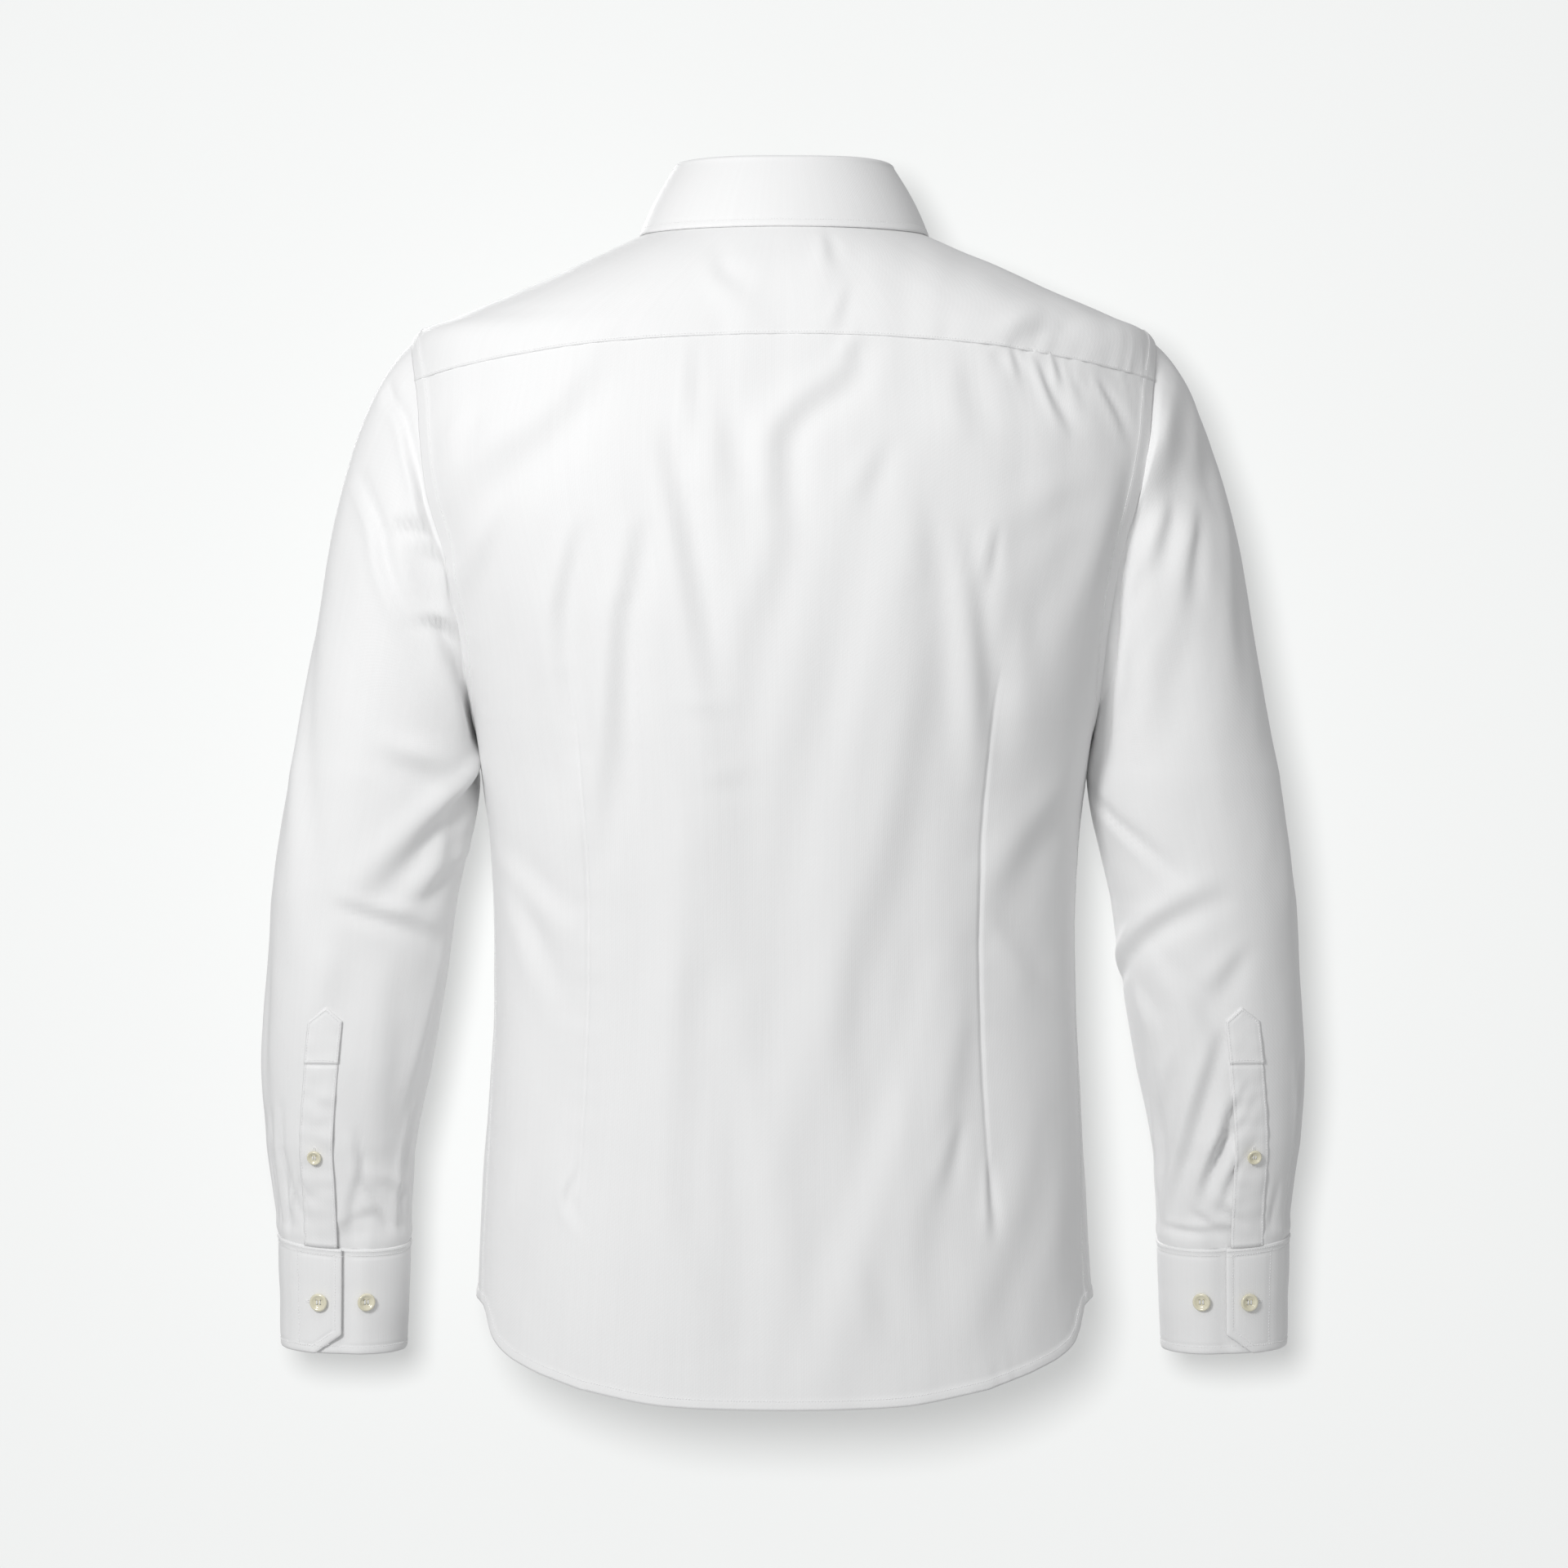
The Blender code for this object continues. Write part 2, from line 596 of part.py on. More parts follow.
def fall_point(angle, share):
    """A point of the turned-down fall: share 0 is over the stand's top, and 1 its free edge."""
    row = collar_row(angle)
    turn = math.copysign(math.radians(row.fall_turn), angle - math.pi / 2)
    edge = body(angle - turn, row.fall_level, FALL_CLEARANCE + DOUBLE_CLOTH)
    rim = stand_point(angle, 1.0, -DOUBLE_CLOTH / 2)
    away = Vector((rim.x, rim.y, 0.0)).normalized()
    along = stand_point(angle + 0.05, 1.0) - stand_point(angle - 0.05, 1.0)
    up = along.cross(away).normalized()
    up *= math.copysign(1.0, up.z)
    top = rim + up * (FALL_OVER + DOUBLE_CLOTH)
    fold = rim + away * FALL_FOLD_OUT
    if share < FALL_FOLD_SHARE:
        turned = math.pi / 2 * share / FALL_FOLD_SHARE
        return fold + (top - rim) * math.cos(turned) + away * FALL_FOLD_OUT * (math.sin(turned) - 1)
    down = (share - FALL_FOLD_SHARE) / (1 - FALL_FOLD_SHARE)
    bulge = (away + up * 0.6) * FALL_BULGE * math.sin(math.pi * down)
    return fold.lerp(edge, down) + bulge


def build_fall():
    opening = math.radians(FALL_OPENING)
    angles = np.linspace(-math.pi / 2 + opening, 1.5 * math.pi - opening, FALL_STEPS + 1)
    fold = np.linspace(0.0, FALL_FOLD_SHARE, 3)
    shares = [*fold, *np.linspace(FALL_FOLD_SHARE, 1.0, FALL_ROWS)[1:]]
    points = [[fall_point(angle, share) for angle in angles] for share in shares]
    cloth("collar_fall", points, DOUBLE_CLOTH, outside=body_centre)


# ================================================================= sleeves
def arm_point(turn, z, out=0.0):
    """A point of the left sleeve below its head: turn 0 is outside and 90 degrees the back."""
    row = row_at(ARM, "z", z)
    across, along = oval(turn, row.squareness)
    x = row.centre_x + (row.half_width + out) * across
    return Vector((x, row.centre_y + (row.half_depth + out) * along, z))


def head_point(turn, share):
    """A point of the left sleeve head, from the armhole (share 0) to the arm (share 1)."""
    start = body(*armhole_place(turn)) + Vector((ARMHOLE_GAP, 0.0, 0.0))
    end = arm_point(turn, ARM[0].z)
    reach = (end - start).length
    top = (1 + math.cos(turn)) / 2
    slope = math.radians(HEAD_SLOPE) * top**1.5
    pull = reach * (1 + (HEAD_PULL - 1) * top)
    leave = Vector((math.sin(slope), 0.12 * math.sin(turn), -math.cos(slope))) * pull
    arrive = Vector((0.2 * top, 0.0, -0.98)) * reach
    return (
        start * (1 + 2 * share) * (1 - share) ** 2
        + leave * share * (1 - share) ** 2
        + end * share * share * (3 - 2 * share)
        - arrive * share * share * (1 - share)
    )


def crease_height(creases, turn, z):
    """How far the creases lift a point of the sleeve."""
    height = 0.0
    radius = 0.055
    degrees = math.degrees(turn) % 360
    for crease in creases:
        run = Vector((math.radians(crease.turn1 - crease.turn0) * radius, crease.z1 - crease.z0))
        turned = (degrees - crease.turn0 + 180) % 360 - 180
        to_point = Vector((math.radians(turned) * radius, z - crease.z0))
        share = min(max(to_point.dot(run) / run.length_squared, 0.0), 1.0)
        off = (to_point - run * share).length
        height += crease.depth * math.exp(-((off / crease.width) ** 2))
    return height


def cuff_edge_z(turn, middle_z, tilt):
    return middle_z + tilt[0] * math.cos(turn) + tilt[1] * math.sin(turn)


def sleeve_point(creases, turn, z, out=0.0):
    """A point of the left sleeve below its head, with its creases."""
    fade = smooth_step(z, CUFF_TOP_Z, CUFF_TOP_Z + 0.02)
    lift = crease_height(creases, turn, z) * fade
    return arm_point(turn, z, out + lift)


def sleeve_rows(creases):
    """Rows of points down the left sleeve, from the armhole to the cuff."""
    turns = [math.pi + step * ARM_TURN for step in range(ARM_STEPS + 1)]
    rows = []
    for share in np.linspace(0.0, 1.0, SLEEVE_HEAD_ROWS + 1):
        row = []
        for turn in turns:
            point = head_point(turn, share)
            centre = Vector((0.225, 0.0, point.z))
            away = (point - centre).normalized()
            lift = crease_height(creases, turn, point.z) * smooth_step(share, 0.0, 0.2)
            row.append(point + away * lift)
        rows.append(row)
    for share in np.linspace(0.0, 1.0, SLEEVE_ROWS + 1)[1:]:
        row = []
        for turn in turns:
            end = cuff_edge_z(turn, CUFF_TOP_Z, CUFF_TOP_TILT) + GAP
            row.append(sleeve_point(creases, turn, ARM[0].z + (end - ARM[0].z) * share))
        rows.append(row)
    return rows


def mirrored(points, side):
    """The left sleeve's points for side 1, and the right sleeve's for side -1."""
    return [[Vector((point.x * side, point.y, point.z)) for point in row] for row in points]


def sleeve_centre(side):
    def centre(z):
        row = row_at(ARM, "z", z)
        return Vector((row.centre_x * side, row.centre_y, z))

    return centre


def build_sleeve(name, side, creases):
    points = mirrored(sleeve_rows(creases), side)
    cloth(name, points, closed=True, outside=sleeve_centre(side))


def cuff_dip(turn):
    """How far the cuff's under end lies inside the upper end."""
    past = math.degrees(turn) - CUFF_EDGE_ANGLE
    return (DOUBLE_CLOTH + GAP) * (1 - smooth_step(past, -4.0, 22.0))


def cuff_point(turn, share, out=0.0):
    """A point of the left cuff: share 0 is its top edge and 1 its bottom edge."""
    top = cuff_edge_z(turn, CUFF_TOP_Z, CUFF_TOP_TILT)
    bottom = cuff_edge_z(turn, CUFF_BOTTOM_Z, CUFF_BOTTOM_TILT)
    return arm_point(turn, top + (bottom - top) * share, CUFF_OUT + out)


def build_cuff(name, side):
    """The band round the wrist, from its under end, round the arm, to its upper end."""
    edge = math.radians(CUFF_EDGE_ANGLE)
    start = edge - math.radians(CUFF_LAP_ANGLE)
    turns = np.linspace(start, edge + 2 * math.pi, CUFF_STEPS + 1)
    corner = math.radians(CUFF_CORNER_ANGLE)
    rows = []
    for share in np.linspace(0.0, 1.0, CUFF_ROWS + 1):
        row = []
        for turn in turns:
            cut = max(1 - (edge + 2 * math.pi - turn) / corner, 0.0)
            rise = CUFF_CORNER_RISE / (CUFF_TOP_Z - CUFF_BOTTOM_Z) * cut
            row.append(cuff_point(turn, share * (1 - rise), -cuff_dip(turn)))
        rows.append(row)
    cloth(name, mirrored(rows, side), DOUBLE_CLOTH, outside=sleeve_centre(side))


def sleeve_band_turn(across, z):
    """The turn at a distance from the placket's open edge, towards the outside of the arm."""
    row = row_at(ARM, "z", z)
    edge = math.radians(SLEEVE_BAND_EDGE_ANGLE)
    return edge - across / row.half_width


def build_sleeve_band(name, side, creases):
    """The pointed band over the slit above the cuff."""
    out = SLEEVE_BAND_OVER + DOUBLE_CLOTH
    columns = np.linspace(0.0, 1.0, 5)
    rows = []
    for share in np.linspace(0.0, 1.0, SLEEVE_BAND_ROWS + 1):
        row = []
        for column in columns:
            top = SLEEVE_BAND_TOP_Z - SLEEVE_BAND_POINT * abs(2 * column - 1)
            turn = sleeve_band_turn(column * SLEEVE_BAND_WIDTH, top)
            bottom = cuff_edge_z(turn, CUFF_TOP_Z, CUFF_TOP_TILT) + 3 * GAP
            z = top + (bottom - top) * share
            turn = sleeve_band_turn(column * SLEEVE_BAND_WIDTH, z)
            row.append(sleeve_point(creases, turn, z, out))
        rows.append(row)
    cloth(name, mirrored(rows, side), DOUBLE_CLOTH, outside=sleeve_centre(side))


# ================================================================= buttons
def button_mesh(name, radius):
    """A turned button with a raised rim round a shallow dish, its underside at z = 0."""
    t = BUTTON_THICKNESS
    profile = (
        (0.0, 0.55 * t),
        (0.62 * radius, 0.62 * t),
        (0.80 * radius, t),
        (radius, 0.62 * t),
        (0.86 * radius, 0.0),
        (0.0, 0.0),
    )
    mesh = bpy.data.meshes.new(name)
    edges = [(i, i + 1) for i in range(len(profile) - 1)]
    mesh.from_pydata([(x, 0.0, z) for x, z in profile], edges, [])
    return mesh


def add_button(name, place, outwards, radius):
    made = add_object(name, button_mesh(name, radius), PEARL, PEARL_ROUGHNESS)
    turned = made.modifiers.new("turned", "SCREW")
    turned.steps = turned.render_steps = BUTTON_SIDES
    turned.use_merge_vertices = True
    turned.merge_threshold = 1e-6
    turned.use_normal_calculate = True
    made.location = place + outwards * GAP
    made.rotation_mode = "QUATERNION"
    made.rotation_quaternion = outwards.to_track_quat("Z", "Y")


def build_front_buttons():
    band = 2 * GAP + DOUBLE_CLOTH
    angle = -math.pi / 2
    for number in range(FRONT_BUTTON_COUNT):
        z = FRONT_BUTTON_TOP_Z - FRONT_BUTTON_STEP * number
        level = level_at_z(angle, z)
        outwards = body_normal(angle, level)
        add_button(f"front_button_{number + 1}", body(angle, level, band), outwards, BUTTON_RADIUS)
    seat = stand_point(angle, 0.5)
    add_button("collar_button", seat, Vector((0.0, -1.0, 0.0)), BUTTON_RADIUS)


def outwards_at(point, turn, z):
    """The way that the left sleeve's surface faces at this place."""
    step = 0.02
    along = point(turn + step, z) - point(turn - step, z)
    down = point(turn, z - step / 10) - point(turn, z + step / 10)
    return down.cross(along).normalized()


def build_sleeve_buttons(name, side, creases):
    def surface(turn, z):
        return arm_point(turn, z, CUFF_OUT)

    places = []
    for number, degrees in enumerate(CUFF_BUTTON_ANGLES, start=1):
        turn = math.radians(degrees)
        seat = arm_point(turn, CUFF_BUTTON_Z, CUFF_OUT)
        if degrees > CUFF_EDGE_ANGLE:
            seat = arm_point(turn, CUFF_BUTTON_Z, CUFF_OUT - cuff_dip(turn))
        places.append((f"cuff_button_{name}_{number}", seat, turn, CUFF_BUTTON_Z, BUTTON_RADIUS))
    turn = sleeve_band_turn(SLEEVE_BAND_WIDTH / 2, SLEEVE_BUTTON_Z)
    seat = sleeve_point(creases, turn, SLEEVE_BUTTON_Z, SLEEVE_BAND_OVER + DOUBLE_CLOTH)
    places.append((f"sleeve_button_{name}", seat, turn, SLEEVE_BUTTON_Z, SMALL_BUTTON_RADIUS))
    for label, seat, turn, z, radius in places:
        outwards = outwards_at(surface, turn, z)
        seat.x *= side
        outwards.x *= side
        add_button(label, seat, outwards, radius)


# ================================================================= the shirt
def build_shirt():
    clear_scene()
    collection = bpy.data.collections.new(COLLECTION)
    bpy.context.scene.collection.children.link(collection)
    build_back()
    build_yoke()
    build_front("front_left", 1)
    build_front("front_right", -1)
    build_front_band()
    build_stand()
    build_fall()
    for name, side, creases in (("left", 1, LEFT_CREASES), ("right", -1, RIGHT_CREASES)):
        build_sleeve(f"sleeve_{name}", side, creases)
        build_sleeve_band(f"sleeve_band_{name}", side, creases)
        build_cuff(f"cuff_{name}", side)
        build_sleeve_buttons(name, side, creases)
    build_front_buttons()


build_shirt()
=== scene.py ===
"""The looks of the long sleeve dress shirt: thin cotton shells with their folds and sewing, pearl
buttons, the stage, the lights and the camera.

Metres, +Z up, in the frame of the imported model: the wearer faces -Y, +X is the wearer's left, and
the origin is the middle of the neck opening. The shirt's form is the solids' own: a stack of rings
for the body and for each sleeve. Each shell is a fine grid over that form, and its folds are soft
troughs and ridges along paths, in millimetres.
"""

import math
from collections import namedtuple

import bmesh
import bpy
import numpy as np
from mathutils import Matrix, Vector, noise
from mathutils.bvhtree import BVHTree
from mathutils.kdtree import KDTree


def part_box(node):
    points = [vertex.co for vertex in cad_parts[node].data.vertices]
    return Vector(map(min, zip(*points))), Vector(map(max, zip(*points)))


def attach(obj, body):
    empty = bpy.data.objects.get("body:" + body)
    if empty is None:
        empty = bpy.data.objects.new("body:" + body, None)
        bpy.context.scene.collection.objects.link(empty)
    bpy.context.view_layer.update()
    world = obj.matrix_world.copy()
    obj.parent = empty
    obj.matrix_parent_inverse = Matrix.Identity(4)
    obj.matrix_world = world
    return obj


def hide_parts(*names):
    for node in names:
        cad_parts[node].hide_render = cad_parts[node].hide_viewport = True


MM = 0.001

# ---------------------------------------------------------------- cloth
SHELL = 0.0006  # one layer
DOUBLE_SHELL = 0.0013  # collar, cuffs and bands
SOLID_LAYER = 0.0015  # wall of a single layer in the solids
SOLID_DOUBLE = 0.0020
GAP = 0.0003  # between neighbours in the solids
ARMHOLE_STEP = 0.0009  # the sleeve's edge lies under the body's
LAP = SOLID_LAYER + 2 * GAP  # how far an under layer lies below the one that covers it
TUCK = 0.004  # how far an edge reaches under its neighbour
FINE = 0.0012  # grid step beside a seam
COARSE = 0.0038  # grid step elsewhere
FINE_REACH = 0.012  # from a seam

# ---------------------------------------------------------------- the form, as in the solids
# The collar alone departs from them: its fold leans in less beside the neck, and the free edge
# of its fall runs evenly to the points.
Ring = namedtuple("Ring", "side_z back_z front_z half_width back_y front_y squareness")
RINGS = (
    Ring(0.000, -0.003, -0.084, 0.069, 0.062, 0.072, 2.00),  # neckline
    Ring(-0.010, -0.013, -0.089, 0.092, 0.075, 0.079, 2.00),
    Ring(-0.028, -0.029, -0.097, 0.132, 0.088, 0.088, 2.10),
    Ring(-0.046, -0.046, -0.107, 0.171, 0.097, 0.096, 2.20),
    Ring(-0.061, -0.063, -0.118, 0.206, 0.103, 0.103, 2.30),
    Ring(-0.073, -0.082, -0.132, 0.231, 0.1075, 0.110, 2.40),  # shoulder point
    Ring(-0.105, -0.117, -0.152, 0.239, 0.112, 0.115, 2.45),
    Ring(-0.137, -0.145, -0.172, 0.242, 0.117, 0.119, 2.50),
    Ring(-0.178, -0.182, -0.198, 0.2365, 0.1205, 0.123, 2.50),
    Ring(-0.222, -0.224, -0.232, 0.221, 0.122, 0.125, 2.50),
    Ring(-0.267, -0.267, -0.270, 0.207, 0.1215, 0.124, 2.45),
    Ring(-0.312, -0.312, -0.312, 0.196, 0.119, 0.120, 2.40),  # underarm
    Ring(-0.348, -0.348, -0.348, 0.1898, 0.116, 0.116, 2.35),
    Ring(-0.390, -0.390, -0.390, 0.1846, 0.112, 0.112, 2.35),
    Ring(-0.435, -0.435, -0.435, 0.1822, 0.108, 0.1085, 2.35),
    Ring(-0.480, -0.480, -0.480, 0.1822, 0.105, 0.1065, 2.35),  # waist
    Ring(-0.525, -0.525, -0.525, 0.1839, 0.104, 0.106, 2.35),
    Ring(-0.570, -0.570, -0.570, 0.1866, 0.105, 0.1075, 2.35),
    Ring(-0.615, -0.615, -0.615, 0.1900, 0.1075, 0.1095, 2.35),
    Ring(-0.660, -0.660, -0.660, 0.1928, 0.1105, 0.112, 2.35),
    Ring(-0.705, -0.705, -0.705, 0.1955, 0.113, 0.114, 2.35),
    Ring(-0.750, -0.750, -0.750, 0.1975, 0.115, 0.116, 2.35),
)
SHOULDER_LEVEL = 5.0
UNDERARM_LEVEL = 11.0
ARMHOLE_HALF_DEPTH = 0.062
YOKE_TURN = math.radians(45)  # round the armhole, from the shoulder point to each yoke seam
YOKE_MIDDLE_LEVEL = 5.0
YOKE_SEAM_BEND = 2.2

Seam = namedtuple("Seam", "level y")
SIDE_SEAM = (
    Seam(11.0, 0.000),
    Seam(14.0, 0.010),
    Seam(17.0, 0.022),
    Seam(19.5, 0.034),
)

Hem = namedtuple("Hem", "across back_z front_z")
HEM = (
    Hem(0.00, -0.730, -0.712),
    Hem(0.38, -0.728, -0.710),
    Hem(0.63, -0.720, -0.704),
    Hem(0.76, -0.7125, -0.699),
    Hem(0.86, -0.705, -0.693),
    Hem(0.92, -0.696, -0.687),
    Hem(0.975, -0.676, -0.676),
    Hem(1.00, -0.674, -0.674),
)
DART_ACROSS = 0.225  # of the back's width, from either side
DART_TOP_Z = -0.284
DART_BOTTOM_Z = -0.615
DART_DEPTH = 0.0022
FRONT_LAP = 0.016  # past the middle of the front
FRONT_LAP_START = 0.030
FRONT_LAP_COLUMNS = 13
FRONT_LAP_SINK = 5.0  # columns in which the under front goes below the upper one
FOLDS_BEGIN = 0.8  # levels below the neckline where the folds reach their height
BAND_WIDTH = 0.032
FRONT_BAND_OUT = 0.0016

BACK_WIDTH = 0.46  # lengths of cloth that set how many columns or rows a piece has
YOKE_DEPTH = 0.14
YOKE_CORNERS = (0.17, 0.83)  # shares of its lower edge, where the armholes end
FRONT_WIDTH = 0.21
FRONT_BAND_LENGTH = 0.64
FRONT_BAND_COLUMNS = 27

# The place is a share of the way round from the middle of the back to an end of the collar.
Collar = namedtuple("Collar", "place stand_height lean fall_level fall_turn")
COLLAR = (
    Collar(0.00, 0.0345, 0.009, 1.00, 0.0),  # middle of the back
    Collar(0.30, 0.0345, 0.006, 1.02, -1.0),
    Collar(0.55, 0.0340, 0.002, 1.00, 0.0),
    Collar(0.75, 0.0320, 0.003, 1.55, 5.0),
    Collar(0.90, 0.0300, 0.003, 2.60, 13.0),
    Collar(1.00, 0.0290, 0.002, 3.40, 22.0),  # point
)
FALL_OPENING = 5.0  # degrees from the middle of the front to the fall's end
FALL_FREE = 0.55  # past this share of the way round, the edge runs down to the point
FALL_DROP = 2.4  # levels from there to the point
FALL_DROP_BEND = 1.7
FALL_TURN = 22.0  # degrees that the point lies back from the fall's end
FALL_TURN_BEND = 2.3
FALL_DEPTH = 0.045
FALL_COLUMNS = 201
FALL_FOLD_ROWS = 9
FALL_CLEARANCE = 0.0010
FALL_OVER = 0.0009
FALL_FOLD_OUT = 0.0040
FALL_BULGE = 0.0012
FALL_COARSE = 0.0022
COLLAR_CENTRE = np.array((0.0, 0.0, -0.05))
STAND_CENTRE = np.array((0.0, 0.0, 0.015))
STAND_LAP_ANGLE = 13.0
STAND_COLUMNS = 181
STAND_ROWS = 19
STAND_FOOT = 0.02  # share of its height where its cloth begins
STAND_STITCH = 0.0024  # from its upper edge

Arm = namedtuple("Arm", "z centre_x half_width centre_y half_depth squareness")
ARM = (
    Arm(-0.348, 0.2512, 0.0602, -0.001, 0.0570, 2.15),
    Arm(-0.374, 0.2550, 0.0608, -0.002, 0.0560, 2.15),
    Arm(-0.400, 0.2605, 0.0597, -0.003, 0.0548, 2.15),
    Arm(-0.425, 0.2650, 0.0582, -0.004, 0.0535, 2.15),
    Arm(-0.477, 0.2700, 0.0564, -0.007, 0.0510, 2.15),
    Arm(-0.528, 0.2758, 0.0533, -0.011, 0.0480, 2.15),
    Arm(-0.580, 0.2804, 0.0471, -0.016, 0.0430, 2.10),
    Arm(-0.606, 0.2799, 0.0445, -0.019, 0.0390, 2.10),
    Arm(-0.640, 0.2795, 0.0415, -0.022, 0.0340, 2.10),
    Arm(-0.712, 0.2802, 0.0397, -0.026, 0.0330, 2.10),
)
ARM_RADIUS = 0.055  # turns a crease's degrees into a length round the sleeve
HEAD_SLOPE = 52.0  # degrees out from straight down, where the sleeve leaves the shoulder
HEAD_PULL = 0.68  # how far it keeps that way, as a share of the head's length
HEAD_ASIDE = 0.12  # how far it leaves forwards and backwards
SLEEVE_ROUND = 0.37
SLEEVE_HEAD_LENGTH = 0.16
SLEEVE_ARM_LENGTH = 0.29
SLEEVE_FINE_AT = (0.0, 0.235, 0.27, 1.0)  # shares of the way round: the seam and the placket
SLEEVE_COARSE = 0.0036
CUFF_TOP_Z = -0.6405
CUFF_BOTTOM_Z = -0.7105
CUFF_ROUND = 0.29
CUFF_DEPTH = 0.07
CUFF_TOP_TILT = (0.0025, -0.0045)  # how its edge rises towards +X and towards +Y
CUFF_BOTTOM_TILT = (0.0012, -0.0015)
CUFF_OUT = 0.0006
CUFF_EDGE_ANGLE = 93.0
CUFF_LAP_ANGLE = 50.0
CUFF_CORNER_ANGLE = 24.0
CUFF_CORNER_RISE = 0.013
SLEEVE_BAND_EDGE_ANGLE = 89.0
SLEEVE_BAND_WIDTH = 0.0218
SLEEVE_BAND_LENGTH = 0.15
SLEEVE_BAND_COLUMNS = 25
SLEEVE_BAND_FOLLOW = 0.35  # share of the sleeve's creases that the stiffer band takes
SLEEVE_BAND_STITCH = 0.0022
PLACKET_OPENS = 0.030  # length below the bar in which the slit opens
PLACKET_END_Z = -0.640  # where it has closed into the cuff
SLEEVE_BAND_TOP_Z = -0.4915
SLEEVE_BAND_POINT = 0.009
SLEEVE_BAND_OUT = 0.0012  # the band's face, over the sleeve's
SLEEVE_BAND_BAR_SHARE = 0.23  # of the way down the band
SLEEVE_BAND_BAR_Z = -0.527  # the line sewn across the placket band

# ---------------------------------------------------------------- buttons
BUTTON_RADIUS = 0.0057  # 18 lignes
SMALL_BUTTON_RADIUS = 0.0046
BUTTON_THICKNESS = 0.0024
BUTTON_SHANK = 0.0006  # thread between the cloth and the button

